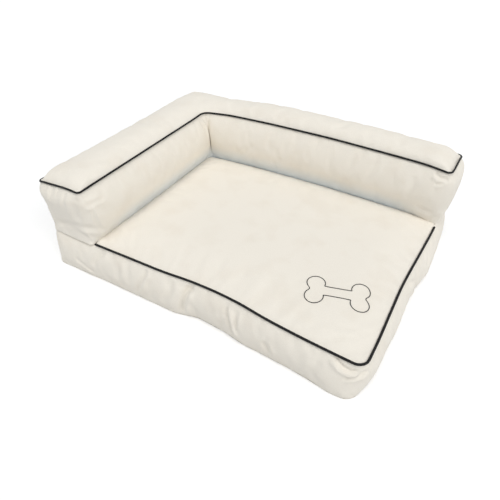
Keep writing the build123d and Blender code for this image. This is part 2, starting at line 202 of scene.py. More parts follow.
def linked(name, data):
    """A new object in the scene."""
    obj = bpy.data.objects.new(name, data)
    bpy.context.scene.collection.objects.link(obj)
    return obj


def mesh_object(name, verts, faces):
    mesh = bpy.data.meshes.new(name)
    mesh.from_pydata(verts, [], faces)
    mesh.polygons.foreach_set("use_smooth", [True] * len(faces))
    return linked(name, mesh)


def grid_object(name, points, uv, closed=False, flip=False):
    """A quad mesh from points [i][j], with its cloth coordinates in metres as UV."""
    ni, nj = points.shape[:2]
    faces, corner_uv = [], []
    for i in range(ni if closed else ni - 1):
        for j in range(nj - 1):
            corners = [(i, j), (i + 1, j), (i + 1, j + 1), (i, j + 1)]
            if flip:
                corners = corners[::-1]
            faces.append([(a % ni) * nj + b for a, b in corners])
            corner_uv += [uv(a, b) for a, b in corners]
    obj = mesh_object(name, points.reshape(-1, 3).tolist(), faces)
    layer = obj.data.uv_layers.new(name="cloth")
    layer.data.foreach_set("uv", np.array(corner_uv, np.float32).ravel())
    return obj


def solids_object(name, solids):
    """A mesh of closed solids, each made of rings of points."""
    verts, faces = [], []
    for rings in solids:
        first, sides, last = len(verts), len(rings[0]), len(rings) - 1
        for ring in rings:
            verts += [tuple(point) for point in ring]
        for start in range(first, first + last * sides, sides):
            for turn in range(sides):
                a, b = start + turn, start + (turn + 1) % sides
                faces.append((a, b, b + sides, a + sides))
        faces.append([first + turn for turn in range(sides)][::-1])
        faces.append([first + last * sides + turn for turn in range(sides)])
    obj = mesh_object(name, verts, faces)
    weld(obj, 1e-7)
    return obj


@contextmanager
def edited(obj):
    """An object's mesh, open for editing."""
    work = bmesh.new()
    work.from_mesh(obj.data)
    yield work
    work.to_mesh(obj.data)
    work.free()


def weld(obj, distance=1e-6):
    with edited(obj) as work:
        bmesh.ops.remove_doubles(work, verts=work.verts, dist=distance)
        bmesh.ops.recalc_face_normals(work, faces=work.faces)


def cap(obj):
    """Closes the open ends of a cord."""
    with edited(obj) as work:
        bmesh.ops.holes_fill(work, edges=[e for e in work.edges if e.is_boundary], sides=0)
        bmesh.ops.recalc_face_normals(work, faces=work.faces)


def read(obj, what="co"):
    """The places or the normals of an object's vertices."""
    values = np.empty(len(obj.data.vertices) * 3, np.float32)
    obj.data.vertices.foreach_get(what, values)
    return values.reshape(-1, 3).astype(float)


def set_points(obj, points):
    obj.data.vertices.foreach_set("co", np.asarray(points, np.float32).ravel())
    obj.data.update()


def surface_tree(obj):
    """An object's surface, for rays to meet."""
    places = [v.co for v in obj.data.vertices]
    return BVHTree.FromPolygons(places, [list(p.vertices) for p in obj.data.polygons])


def baked(obj):
    """Applies an object's modifiers to its mesh."""
    graph = bpy.context.evaluated_depsgraph_get()
    mesh = bpy.data.meshes.new_from_object(obj.evaluated_get(graph), depsgraph=graph)
    old = obj.data
    obj.modifiers.clear()
    obj.data = mesh
    if old.users == 0:
        bpy.data.meshes.remove(old)
    mesh.name = obj.name
    return obj


def subdivided(obj):
    modifier = obj.modifiers.new("Subdivision", "SUBSURF")
    modifier.levels = modifier.render_levels = 1
    modifier.uv_smooth = "NONE"
    return baked(obj)


def thickened(obj, thickness=0.0016):
    """Gives cloth its thickness on the inner side."""
    modifier = obj.modifiers.new("Solidify", "SOLIDIFY")
    modifier.thickness = thickness
    modifier.offset = -1
    return baked(obj)


CLOTH_SETTINGS = {
    "quality": 6, "mass": 0.3, "tension_stiffness": 15, "compression_stiffness": 15, "shear_stiffness": 8,
    "bending_stiffness": 0.6, "air_damping": 2, "use_pressure": True}
CLOTH_FRAMES = 24
# Unevenness that the cloth starts with: its height, and its lumps in a metre
UNEVEN, LUMPS = 0.0012, 60


def simulated(obj, pinned, pressure, grow, most):
    """Blows cloth up between its pinned seams, by no more than most.
    It is a little larger than its shape, so it puckers."""
    rest = read(obj)
    unevenness = np.array([noise.noise(Vector(p) * LUMPS) for p in rest])
    set_points(obj, rest + read(obj, "normal") * (unevenness * UNEVEN * (1 - pinned))[:, None])
    group = obj.vertex_groups.new(name="pin")
    for index in np.flatnonzero(pinned > 0):
        group.add([int(index)], float(pinned[index]), "REPLACE")
    cloth = obj.modifiers.new("Cloth", "CLOTH")
    for setting, value in CLOTH_SETTINGS.items():
        setattr(cloth.settings, setting, value)
    cloth.settings.uniform_pressure_force = pressure
    cloth.settings.shrink_min = -grow
    cloth.settings.vertex_group_mass = "pin"
    cloth.settings.effector_weights.gravity = 0
    cloth.collision_settings.use_collision = False
    cloth.point_cache.frame_start, cloth.point_cache.frame_end = 1, CLOTH_FRAMES
    scene = bpy.context.scene
    for step in range(1, CLOTH_FRAMES + 1):
        scene.frame_set(step)
    baked(obj)
    scene.frame_set(1)
    moved = read(obj) - rest
    size = np.linalg.norm(moved, axis=1)
    moved *= (np.tanh(size / most) * most / np.maximum(size, 1e-9))[:, None]
    set_points(obj, rest + moved)
    obj.vertex_groups.clear()


# Easing curves

ROLL_POWER = 2.2


def smooth_step(x):
    x = np.clip(x, 0, 1)
    return x * x * (3 - 2 * x)


def roll(distance, reach):
    """0 at an edge, rising roundly to 1 at a reach from it."""
    share = np.clip(distance / reach, 0, 1)
    return 1 - (1 - share) ** ROLL_POWER


BOW_STEPS, BOW_WINDOW = 240, 29


def bow(table, place):
    """A smooth curve through a table of places and moves."""
    fine = np.linspace(table[0][0], table[0][-1], BOW_STEPS)
    move = np.pad(np.interp(fine, *table), BOW_WINDOW // 2, mode="edge")
    kernel = np.hanning(BOW_WINDOW)
    kernel /= kernel.sum()
    return np.interp(place, fine, np.convolve(move, kernel, mode="valid"))


# The set of the cushions: places along an edge, and the moves there

# How far the seat's tight seam is drawn in at the front and at the right
FRONT_BOW = ((-0.46, -0.2885, -0.19, -0.07, 0.0, 0.075, 0.14, 0.21, 0.30, 0.40, 0.46),
             (0.002, 0.006, 0.009, 0.012, 0.0175, 0.019, 0.0165, 0.009, 0.004, 0.001, 0))
RIGHT_BOW = ((-0.345, -0.24, -0.16, -0.07, 0.0, 0.08, 0.16, 0.24, 0.345),
             (0, 0.001, 0.004, 0.007, 0.0055, 0.003, 0.001, 0, 0))
# How far the back leans to the rear
BACK_BOW = ((-0.4575, -0.33, -0.2885, -0.20, -0.08, 0.10, 0.26, 0.37, 0.41, 0.4575),
            (0, -0.004, 0, 0.011, 0.021, 0.028, 0.026, 0.023, 0.015, 0.004))
# How far the front's foot seam is pulled in beside the fold there
FOOT_PULL = ((-0.46, -0.10, -0.04, -0.01, 0.012, 0.035, 0.07, 0.10, 0.13, 0.16, 0.20, 0.28, 0.33, 0.385,
              0.44, 0.46),
             (0, 0.001, 0.001, 0.008, 0.0145, 0.0147, 0.0125, 0.0115, 0.006, 0.003, 0.0035, 0.002, -0.002,
              -0.0085, -0.0105, -0.008))
# How far the right side's lower part is let out
SIDE_EASE = ((-0.345, -0.31, -0.255, -0.20, -0.14, -0.08, -0.02, 0.045, 0.08, 0.115, 0.19, 0.28, 0.345),
             (-0.010, -0.009, -0.005, -0.004, 0, -0.0015, -0.0065, -0.002, 0.0045, 0.009, 0.005, -0.005,
              -0.004))
# How far the top of the back's rear edge is lifted
REAR_LIFT = ((-0.4575, -0.40, -0.34, -0.28, -0.23, -0.17, -0.10, 0.05, 0.20, 0.29, 0.35, 0.41, 0.4575),
             (-0.009, -0.010, -0.015, -0.014, -0.011, -0.003, 0.002, 0.002, 0.001, -0.003, -0.005, -0.001, 0))

# A move holds over a margin from its edge and fades out over a reach beyond it
BASE_MARGIN, BASE_REACH = 0.02, 0.14
TOP_MARGIN, TOP_REACH, TOP_FRONT_REACH = 0.03, 0.10, 0.12
BACK_REACH = 0.09
# The foot's share of the seam's move at the front and at the right, and the share that lifts the seam
FRONT_FOOT, RIGHT_FOOT, FRONT_LIFT, RIGHT_LIFT = 0.35, 0.1, 0.45, 0.5
# How quickly the pull and the ease fade with height
PULL_FADE, EASE_FADE = 1.6, 0.8
# The back's bow: the rear's share, the height above which it has one, the inner side's loss, and the lift
REAR_SHARE, REAR_ABOVE, INNER_LOSS, BOW_LIFT = 0.2, 0.62, 0.12, 0.14
# The pull at the inner corner: how far to the left of it and behind it, over what reach, and how strong
PULL_LEFT, PULL_BEHIND, PULL_REACH, PULL_ACROSS, PULL_FORWARD = 0.010, 0.020, 0.045, 0.004, 0.009
# How far the outer corners of the bolster's top are drawn down
LEFT_DROP, FRONT_LEFT_DROP = 0.0055, 0.002


def near(distance, reach):
    """1 at an edge, fading to 0 at a reach from it."""
    return smooth_step(1 - distance / reach)


def base_set(points):
    """Moves points of the base as its tight seams do: in, and a little up between the corners."""
    p = np.array(points, float)
    x, y, z = p[..., 0], p[..., 1], p[..., 2]
    near_front = near(y + HALF_DEPTH - BASE_MARGIN, BASE_REACH)
    near_right = near(HALF_WIDTH - BASE_MARGIN - x, BASE_REACH)
    top = smooth_step(z / SEAT_SEAM_Z)
    front, right = bow(FRONT_BOW, x), bow(RIGHT_BOW, y)
    pull = np.interp(x, *FOOT_PULL) * (1 - top) ** PULL_FADE
    p[..., 1] += near_front * (front * (FRONT_FOOT + (1 - FRONT_FOOT) * top) + pull)
    ease = np.interp(y, *SIDE_EASE) * (1 - top) ** EASE_FADE
    p[..., 0] -= near_right * (right * (RIGHT_FOOT + (1 - RIGHT_FOOT) * top) - ease)
    p[..., 2] += top ** 2 * (FRONT_LIFT * near_front * front + RIGHT_LIFT * near_right * right)
    return p


def back_set(points):
    """Moves points of the bolster: the back bows to the rear, and the outer corners are drawn down."""
    p = np.array(points, float)
    x, y, z = p[..., 0], p[..., 1], p[..., 2]
    height = np.clip((z - BOLSTER_FOOT_Z) / (BOLSTER_SEAM_Z - BOLSTER_FOOT_Z), 0, 1.2)
    behind = np.clip((y - BACK_FACE_Y) / (2 * (HALF_DEPTH - BACK_FACE_Y) / 3), 0, 1)
    move = bow(BACK_BOW, x) * smooth_step((y - BACK_FACE_Y + BACK_REACH) / BACK_REACH)
    rear_share = REAR_SHARE * smooth_step((height - REAR_ABOVE) / (1 - REAR_ABOVE))
    front_share = 1 - INNER_LOSS * height
    p[..., 1] += move * (front_share + (rear_share - front_share) * smooth_step(behind))
    p[..., 2] += BOW_LIFT * move * height ** 2
    left = near(x + HALF_WIDTH - TOP_MARGIN, TOP_REACH)
    rear = near(HALF_DEPTH - TOP_MARGIN - y, TOP_REACH)
    front = near(y + HALF_DEPTH - TOP_MARGIN, TOP_FRONT_REACH)
    lift = bow(REAR_LIFT, x) * rear - LEFT_DROP * left - FRONT_LEFT_DROP * left * front
    p[..., 2] += lift * np.clip(height, 0, 1) ** 2
    across = (x - ARM_FACE_X + PULL_LEFT) / PULL_REACH
    behind = (y - BACK_FACE_Y - PULL_BEHIND) / PULL_REACH
    inner = np.exp(-across ** 2 - behind ** 2) * height ** 2
    p[..., 0] -= PULL_ACROSS * inner
    p[..., 1] -= PULL_FORWARD * inner
    return p


# The zips in the rear bands

TAPE_WIDTH, TAPE_ENDS = 0.0125, 0.020
WINDOW_HEIGHT, BESIDE_WINDOW = 0.020, (0.01, 0.008)


def zip_place(name):
    """A zip's middle across, its height, and the lengths of its opening and of its tapes."""
    low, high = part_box(name + "_zip_lower_tape")[LOW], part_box(name + "_zip_upper_tape")[HIGH]
    tape = round(high.x - low.x, 4)
    return round((low.x + high.x) / 2, 4), round((low.z + high.z) / 2, 4), round(tape - TAPE_ENDS, 4), tape


ZIPS = {name: zip_place(name) for name in ("base", "bolster")}
# How far the rear bands lie flat beside a zip and beyond its ends, with the lengths over which this fades
FLAT_BESIDE, FADE_BESIDE, FLAT_BEYOND, FADE_BEYOND, REAR_FROM = 0.015, 0.02, 0.012, 0.05, 0.30


def zip_zone(points):
    """1 where the rear bands lie flat round the zips, fading to 0."""
    x, y, z = points[..., 0], points[..., 1], points[..., 2]
    zone = np.zeros(x.shape)
    for middle, height, length, _ in ZIPS.values():
        across = 1 - smooth_step((np.abs(z - height) - FLAT_BESIDE) / FADE_BESIDE)
        along = 1 - smooth_step((np.abs(x - middle) - length / 2 - FLAT_BEYOND) / FADE_BEYOND)
        zone = np.maximum(zone, across * along * (y > REAR_FROM))
    return zone


def flat_at_zips(points):
    p = np.array(points, float)
    p[..., 1] += (HALF_DEPTH - p[..., 1]) * zip_zone(p)
    return p


# Walls: for shares of their height, how far each span is drawn in

BASE_LEVELS = (
    (0, {"rest": 0.011, "front_under": 0.008, "front_open": 0.0105, "side_open": 0.009, "left": 0.008,
         "front_right": 0.014, "front_left": 0.003, "side_under": 0.006, "rear_right": 0.008}),
    (0.15, {"rest": 0.004, "front_right": 0.012, "side_open": 0.003, "side_under": 0.002,
            "front_left": 0.006, "rear_right": 0.006, "rear_left": 0.007}),
    (0.42, {"rest": 0.0, "front_right": 0.012, "front_left": 0.009, "rear_left": 0.007,
            "rear_right": 0.006, "side_open": -0.002, "side_under": -0.002}),
    (0.76, {"rest": 0.0055, "front_right": 0.010, "front_left": 0.010, "rear_left": 0.011,
            "rear_right": 0.009, "left": 0.006}),
    (1, {"rest": SEAT_DRAW, "side_under": 0.0205, "front_left": 0.017}))
BOLSTER_LEVELS = (
    (0, {"rest": FOOT_DRAW, "front_end": 0.017, "front_left": 0.020, "left": 0.020, "rear_left": 0.022,
         "front_inner": 0.017, "right_inner": 0.018, "right_end": 0.0195, "rear_right": 0.0165,
         "rear": 0.016}),
    (0.2, {"rest": 0.0065, "front_end": 0.028, "front_left": 0.0215, "left": 0.016, "rear_left": 0.020,
           "arm_inner": 0.004, "back_inner": 0.003, "inner": 0.008, "front_inner": 0.023,
           "right_inner": 0.016, "right_end": 0.007, "rear_right": 0.006, "rear": 0.005}),
    (0.55, {"rest": 0.0, "arm_inner": -0.006, "back_inner": -0.010, "inner": 0.003, "front_end": 0.019,
            "front_left": 0.0145, "left": 0.007, "rear_left": 0.014, "front_inner": 0.016,
            "right_inner": 0.009, "rear_right": -0.001}),
    (0.84, {"rest": 0.0075, "arm_inner": 0.003, "back_inner": 0.0, "inner": 0.007, "front_end": 0.004,
            "front_left": 0.013, "left": 0.008, "rear_left": 0.014, "front_inner": 0.012,
            "right_inner": 0.010, "right_end": 0.001, "rear_right": 0.0}),
    (1, {"rest": TOP_DRAW, "left": 0.024, "front_left": 0.023, "rear_left": 0.030, "rear_right": 0.018,
         "right_end": 0.019}))

BASE, BOLSTER = base_loop(), bolster_loop()
base_wall, base_cloth = wall_grid(BASE, BASE_ROWS, BOTTOM_Z, SEAT_SEAM_Z, BASE_LEVELS)
bolster_wall, bolster_cloth = wall_grid(BOLSTER, BOLSTER_ROWS, BOLSTER_FOOT_Z, BOLSTER_SEAM_Z, BOLSTER_LEVELS)
base_wall = flat_at_zips(base_set(base_wall))
bolster_wall = flat_at_zips(back_set(bolster_wall))

# The seat's crown: its height, and how far in from the open edges and from the creases it rises
SEAT_CROWN, OPEN_REACH, CREASE_REACH = 0.0135, 0.10, 0.07
# Over what length the crease's lift fades out at the open edges
LIFT_FROM_FRONT, LIFT_FROM_RIGHT = 0.02, 0.018
# The steepness of what eases in along the creases: the arm's tuck, the side's tuck, the bow at its two ends
ARM_TUCK_EASE, END_TUCK_EASE, BOW_EASE, BOW_END_EASE = 12, 9, 12, 30


def seat_grid():
    """The seat panel between the base's open seams and the creases under the bolster."""
    front = base_wall[BASE.walk("front_open", "front_right", 0, HALF_CORNER), -1]
    right = base_wall[BASE.walk("front_right", "side_under", HALF_CORNER, END_COLUMNS), -1]
    crease_y = BACK_FOOT_Y + CREASE_TUCK
    corner = np.array([ARM_FOOT_X - CREASE_TUCK, crease_y, SEAT_SEAM_Z])
    share = np.linspace(0, 1, len(right))[:, None]
    left = front[0] * (1 - share) + corner * share
    left[:, 0] = ARM_FOOT_X - CREASE_TUCK * smooth_step(share[:, 0] * ARM_TUCK_EASE)
    share = np.linspace(0, 1, len(front))[:, None]
    rear = corner * (1 - share) + right[-1] * share
    share = share[:, 0]
    end_tuck = right[-1, 1] - BACK_FOOT_Y - CREASE_TUCK
    rear[:, 1] = crease_y + end_tuck * (1 - smooth_step((1 - share) * END_TUCK_EASE))
    eased = bow(BACK_BOW, rear[:, 0]) * smooth_step(share * BOW_EASE)
    rear[:, 1] += eased * smooth_step((1 - share) * BOW_END_EASE)
    grid = patch(front, rear, left, right)
    x, y, border_z = grid[..., 0], grid[..., 1], grid[..., 2].copy()
    from_front, from_right = y - y[:, :1], x[-1:] - x
    from_back, from_arm = roll(y[:, -1:] - y, CREASE_REACH), roll(x - x[:1], CREASE_REACH)
    crown = roll(from_front, OPEN_REACH) * from_back * roll(from_right, OPEN_REACH) * from_arm
    crease = np.clip(2 - from_back - from_arm, 0, 1)
    open_edge = roll(from_front, LIFT_FROM_FRONT) * roll(from_right, LIFT_FROM_RIGHT)
    grid[..., 2] = border_z + SEAT_CROWN * crown + CREASE_LIFT * crease * open_edge
    return grid


def bolster_strip(row):
    """A strip that spans the bolster's wall at one of its rows, [along][outer to inner]."""
    seam = bolster_wall[:, row]
    outer = seam[BOLSTER.between_corners("rear_right", "front_left")][::-1]
    inner = seam[BOLSTER.between_corners("front_inner", "right_inner")]
    start = seam[BOLSTER.between_corners("front_left", "front_inner")]
    end = seam[BOLSTER.between_corners("right_inner", "rear_right")][::-1]
    return patch(outer, inner, start, end, decay=6)


# The bolster's crown: its height, what the back adds, and how far in from the ends it rises
BOLSTER_CROWN, BACK_CROWN, END_REACH, END_SLANT = 0.024, 0.004, 0.060, 0.008
# Where across the bed the back's share begins, and over what length it grows
BACK_CROWN_FROM, BACK_CROWN_OVER = -0.40, 0.25
# How square the crown is towards the outer and the inner seam
OUTER_POWER, INNER_POWER = 4.5, 2.6


def bolster_top_grid():
    """The crowned panel over arm and back."""
    grid = bolster_strip(-1)
    across = np.linspace(-1, 1, grid.shape[1])[None, :]
    arch = 1 - np.abs(across) ** np.where(across < 0, OUTER_POWER, INNER_POWER)
    from_front = grid[..., 1] - (TOP_DRAW - HALF_DEPTH)
    from_right = (HALF_WIDTH - TOP_DRAW) - grid[..., 0]
    reach = END_REACH + END_SLANT * across
    on_back = smooth_step((grid[..., 0] - BACK_CROWN_FROM) / BACK_CROWN_OVER)
    height = BOLSTER_CROWN + BACK_CROWN * on_back
    grid[..., 2] += height * arch * (roll(from_front, reach) * roll(from_right, reach))
    return grid


seat = seat_grid()
bolster_top = bolster_top_grid()


# Camera, light and floor

CAMERA_ANGLES, CAMERA_DISTANCE, CAMERA_LENS = (30.79, 40.54), 1.4215, 34.28
CAMERA_TARGET = Vector((-0.0213, 0.0051, -0.0292))
# Each lamp: the direction that it shines from, its strength and the width of its disc in degrees
LAMPS = {"key": ((8, 74), 1.0, 30), "side": ((74, 38), 0.74, 28)}
LAMP_COLOUR, AMBIENT_COLOUR, AMBIENT = (1, 0.982, 0.955), (0.94, 0.972, 1, 1), 0.52
FLOOR_SIZE, FLOOR_GREY, FLOOR_GLOW = 12, 0.80, 0.30


def direction(azimuth, elevation):
    a, e = math.radians(azimuth), math.radians(elevation)
    return Vector((math.sin(a) * math.cos(e), -math.cos(a) * math.cos(e), math.sin(e)))


def aimed(name, data, back):
    """An object that looks against a direction."""
    obj = linked(name, data)
    obj.rotation_mode = "QUATERNION"
    obj.rotation_quaternion = (-back).to_track_quat("-Z", "Y")
    return obj


def make_camera():
    data = bpy.data.cameras.new("camera")
    data.lens, data.sensor_width = CAMERA_LENS, 36
    data.clip_start, data.clip_end = 0.05, 60
    back = direction(*CAMERA_ANGLES)
    camera = aimed("camera", data, back)
    camera.location = CAMERA_TARGET + back * CAMERA_DISTANCE
    bpy.context.scene.camera = camera


class Tree:
    """The nodes of a material or a world, with short ways to add to them."""

    def __init__(self, owner):
        owner.use_nodes = True
        self.owner = owner
        self.nodes, self.links = owner.node_tree.nodes, owner.node_tree.links

    def feed(self, socket, value):
        if isinstance(value, bpy.types.NodeSocket):
            self.links.new(value, socket)
        else:
            socket.default_value = value

    def add(self, kind, inputs, **settings):
        """A new node. Each input is a value or another node's output."""
        node = self.nodes.new("ShaderNode" + kind)
        for name, value in settings.items():
            setattr(node, name, value)
        for socket, value in inputs.items():
            self.feed(node.inputs[socket], value)
        return node

    def math(self, operation, first, second=0.5):
        return self.add("Math", {0: first, 1: second}, operation=operation).outputs[0]

    def camera_like(self):
        """1 for rays that see the background as the camera does: straight, mirrored or through glass."""
        path = self.add("LightPath", {}).outputs
        seen = self.math("MAXIMUM", path["Is Camera Ray"], path["Is Glossy Ray"])
        return self.math("MAXIMUM", seen, path["Is Transmission Ray"])


def make_light():
    scene = bpy.context.scene
    scene.view_settings.view_transform = "Standard"
    scene.world = bpy.data.worlds.new("studio")
    tree = Tree(scene.world)
    tree.nodes.clear()
    ambient = tree.add("Background", {"Color": AMBIENT_COLOUR, "Strength": AMBIENT})
    white = tree.add("Background", {"Color": (1, 1, 1, 1), "Strength": 1})
    mix = tree.add("MixShader", {0: tree.camera_like(), 1: ambient.outputs[0], 2: white.outputs[0]})
    tree.add("OutputWorld", {0: mix.outputs[0]})
    for name, (angles, strength, width) in LAMPS.items():
        data = bpy.data.lights.new(name, "SUN")
        data.energy, data.angle, data.color = strength, math.radians(width), LAMP_COLOUR
        aimed(name, data, direction(*angles))


def make_floor():
    size = FLOOR_SIZE
    corners = [(-size, -size, 0), (size, -size, 0), (size, size, 0), (-size, size, 0)]
    floor = mesh_object("floor", corners, [(0, 1, 2, 3)])
    tree = Tree(bpy.data.materials.new("floor"))
    tree.nodes.clear()
    matt = tree.add("BsdfDiffuse", {"Color": (FLOOR_GREY, FLOOR_GREY, FLOOR_GREY, 1)})
    glow = tree.add("Emission", {"Strength": tree.math("MULTIPLY", tree.camera_like(), FLOOR_GLOW)})
    both = tree.add("AddShader", {0: matt.outputs[0], 1: glow.outputs[0]})
    tree.add("OutputMaterial", {0: both.outputs[0]})
    floor.data.materials.append(tree.owner)


make_camera()
make_light()
make_floor()


# Materials: noise scales count lumps in a metre, and pitches and bumps are metres

def srgb(r, g, b):
    def linear(c):
        c /= 255
        return c / 12.92 if c <= 0.04045 else ((c + 0.055) / 1.055) ** 2.4
    return linear(r), linear(g), linear(b), 1


class Shader(Tree):
    """A material with its main shader."""

    def __init__(self, name, roughness, **sockets):
        super().__init__(bpy.data.materials.new(name))
        self.material = self.owner
        self.main = self.nodes["Principled BSDF"]
        self.roughness(roughness)
        for socket, value in sockets.items():
            self.feed(self.main.inputs[socket.replace("_", " ")], value)

    def roughness(self, value):
        self.feed(self.main.inputs["Roughness"], value)

    def colour(self, value):
        self.feed(self.main.inputs["Base Color"], value)

    def bump(self, height, distance, strength):
        node = self.add("Bump", {"Distance": distance, "Strength": strength, "Height": height})
        self.feed(self.main.inputs["Normal"], node.outputs[0])

    def place(self):
        """The place on the object, in metres."""
        return self.add("TexCoord", {}).outputs["Object"]

    def cloth(self):
        """The place in the flat cloth, in metres."""
        return self.add("UVMap", {}, uv_map="cloth").outputs["UV"]

    def axes(self, vector):
        return self.add("SeparateXYZ", {0: vector}).outputs

    def noise(self, vector, scale, detail=3.0):
        return self.add("TexNoise", {"Scale": scale, "Detail": detail, "Vector": vector}).outputs["Fac"]

    def rises(self, value, low, high):
        """0 below one value and 1 above another, eased between them."""
        ends = {"From Min": low, "From Max": high, "Value": value}
        return self.add("MapRange", ends, interpolation_type="SMOOTHSTEP").outputs["Result"]

    def falls(self, value, low, high):
        return self.math("SUBTRACT", 1.0, self.rises(value, low, high))

    def ramp(self, value, first, last):
        """Colours between two stops, each a position and a colour."""
        node = self.add("ValToRGB", {0: value})
        for element, (position, colour) in zip(node.color_ramp.elements, (first, last)):
            element.position, element.color = position, colour
        return node.outputs["Color"]

    def mottle(self, where, dark, pale, low=0.35, high=0.7, **lumps):
        """Colours the surface in soft patches of two colours."""
        self.colour(self.ramp(self.noise(where, **lumps), (low, dark), (high, pale)))

    def times(self, weight, first, second):
        """A colour multiplied by another one, as far as weight says."""
        node = self.add("Mix", {}, data_type="RGBA", blend_type="MULTIPLY")
        for socket, value in ((0, weight), (6, first), (7, second)):
            self.feed(node.inputs[socket], value)
        return node.outputs[2]

    def weave(self, pitch):
        """A plain weave of that thread pitch, from -1 to 1."""
        across, along = self.axes(self.cloth())[:2]
        waves = [self.math("SINE", self.math("MULTIPLY", way, math.pi / pitch)) for way in (across, along)]
        return self.math("MULTIPLY", *waves)


# Painted shade: a cool grey painted into the colour of the bolster's inner sides, strongest where they meet
# the seat, in place of the shade in that crease
PAINTED_SHADE_TONE, PAINTED_SHADE_LOW, PAINTED_SHADE_HIGH = (0.73, 0.845, 1, 1), BOLSTER_FOOT_Z + 0.004, BOLSTER_FOOT_Z + 0.066
# Where the painted shade fades out towards the left, the right, the front and the rear
PAINTED_SHADE_LEFT, PAINTED_SHADE_RIGHT, PAINTED_SHADE_FRONT, PAINTED_SHADE_REAR = (-0.32, -0.27), (0.30, 0.43), (-0.34, -0.15), (0.25, 0.29)


def with_painted_foot_shade(s, colour):
    """A colour with painted shade, a cool grey, at the foot of the inner sides, faded out towards their ends.
    """
    x, y, z = s.axes(s.place())
    weight = s.falls(z, PAINTED_SHADE_LOW, PAINTED_SHADE_HIGH)
    sides = (s.rises(x, *PAINTED_SHADE_LEFT), s.falls(x, *PAINTED_SHADE_RIGHT),
             s.rises(y, *PAINTED_SHADE_FRONT), s.falls(y, *PAINTED_SHADE_REAR))
    for fade in sides:
        weight = s.math("MULTIPLY", weight, fade)
    return s.times(weight, colour, PAINTED_SHADE_TONE)


def canvas(name, light, dark, pitch=0.0011, foot=False):
    """Cotton canvas: mottled, slubby and softly napped, with painted shade at the foot of the bolster's inner
    sides where asked.
    """
    s = Shader(name, 0.92, Sheen_Weight=0.22, Sheen_Roughness=0.45, Specular_IOR_Level=0.25)
    broad = s.noise(s.place(), scale=14.0, detail=4.0)
    tint = s.ramp(broad, (0.32, dark), (0.5, light))
    slubs = s.noise(s.cloth(), scale=420.0, detail=2.0)
    slubbed = s.times(1.0, tint, s.ramp(slubs, (0.35, (0.965, 0.962, 0.958, 1)), (0.6, (1, 1, 1, 1))))
    # Where asked, painted shade darkens the colour at the foot of the inner sides
    s.colour(with_painted_foot_shade(s, slubbed) if foot else slubbed)
    weave = s.math("MULTIPLY", s.weave(pitch), 0.5)
    nap = s.math("MULTIPLY", s.noise(s.cloth(), scale=900.0, detail=2.0), 0.8)
    s.bump(s.math("ADD", weave, nap), distance=0.00025, strength=0.6)
    s.roughness(s.math("ADD", s.math("MULTIPLY", broad, 0.1), 0.86))
    return s.material


def piping_material():
    s = Shader("black_piping", 0.7, Sheen_Weight=0.04, Specular_IOR_Level=0.25)
    s.mottle(s.cloth(), srgb(8, 8, 9), srgb(22, 22, 23), scale=260.0)
    s.bump(s.weave(pitch=0.0009), distance=0.0002, strength=0.8)
    return s.material


def foam_material(name, pale, deep, cells):
    s = Shader(name, 0.95, Specular_IOR_Level=0.15)
    s.mottle(s.place(), deep, pale, high=0.65, scale=18.0, detail=5.0)
    pores = s.add("TexVoronoi", {"Scale": cells, "Vector": s.place()})
    s.bump(pores.outputs["Distance"], distance=0.0008, strength=0.9)
    return s.material


# The tape's ribs and their slant, and the turns of a thread's strands
RIB_PITCH, SLANT_PITCH, STRAND_PITCH, STRAND_SLANT = 0.0012, 0.0021, 0.0009, 0.35


def tape_material():
    """A ribbed twill tape."""
    s = Shader("zip_tape", 0.85, Sheen_Weight=0.15, Specular_IOR_Level=0.25)
    across, along = s.axes(s.cloth())[:2]
    slant = s.math("ADD", across, s.math("PINGPONG", along, SLANT_PITCH))
    s.mottle(s.cloth(), srgb(222, 215, 200), srgb(236, 230, 216), low=0.3, scale=300.0)
    s.bump(s.math("SINE", s.math("MULTIPLY", slant, 2 * math.pi / RIB_PITCH)), distance=0.0002, strength=0.7)
    return s.material


def nylon_material():
    s = Shader("zip_nylon", 0.38, Specular_IOR_Level=0.5, Subsurface_Weight=0.05)
    s.mottle(s.place(), srgb(214, 207, 191), srgb(232, 226, 211), low=0.3, scale=90.0)
    s.bump(s.noise(s.place(), scale=1400.0), distance=0.0001, strength=0.3)
    return s.material


def metal_material():
    """Nickel, a little worn."""
    s = Shader("nickel", 0.3, Metallic=1.0)
    s.mottle(s.place(), srgb(176, 174, 170), srgb(206, 204, 199), scale=160.0)
    s.roughness(s.math("ADD", s.math("MULTIPLY", s.noise(s.place(), scale=700.0), 0.22), 0.2))
    s.bump(s.noise(s.place(), scale=900.0), distance=0.00008, strength=0.25)
    return s.material


def sole_material(name, dark, pale, pitch):
    s = Shader(name, 0.8, Sheen_Weight=0.1, Specular_IOR_Level=0.3)
    s.mottle(s.place(), dark, pale, high=0.65, scale=30.0, detail=4.0)
    s.bump(s.weave(pitch), distance=0.0003, strength=0.8)
    return s.material


def thread_material(name, dark, pale):
    """Twisted thread: its strands run slantwise round it."""
    s = Shader(name, 0.6, Sheen_Weight=0.08, Specular_IOR_Level=0.3)
    across, along = s.axes(s.cloth())[:2]
    turned = s.math("ADD", across, s.math("MULTIPLY", along, STRAND_SLANT))
    strand = s.math("SINE", s.math("MULTIPLY", turned, 2 * math.pi / STRAND_PITCH))
    s.colour(s.ramp(s.math("ADD", s.math("MULTIPLY", strand, 0.5), 0.5), (0.2, dark), (0.8, pale)))
    s.bump(strand, distance=0.0003, strength=0.9)
    return s.material


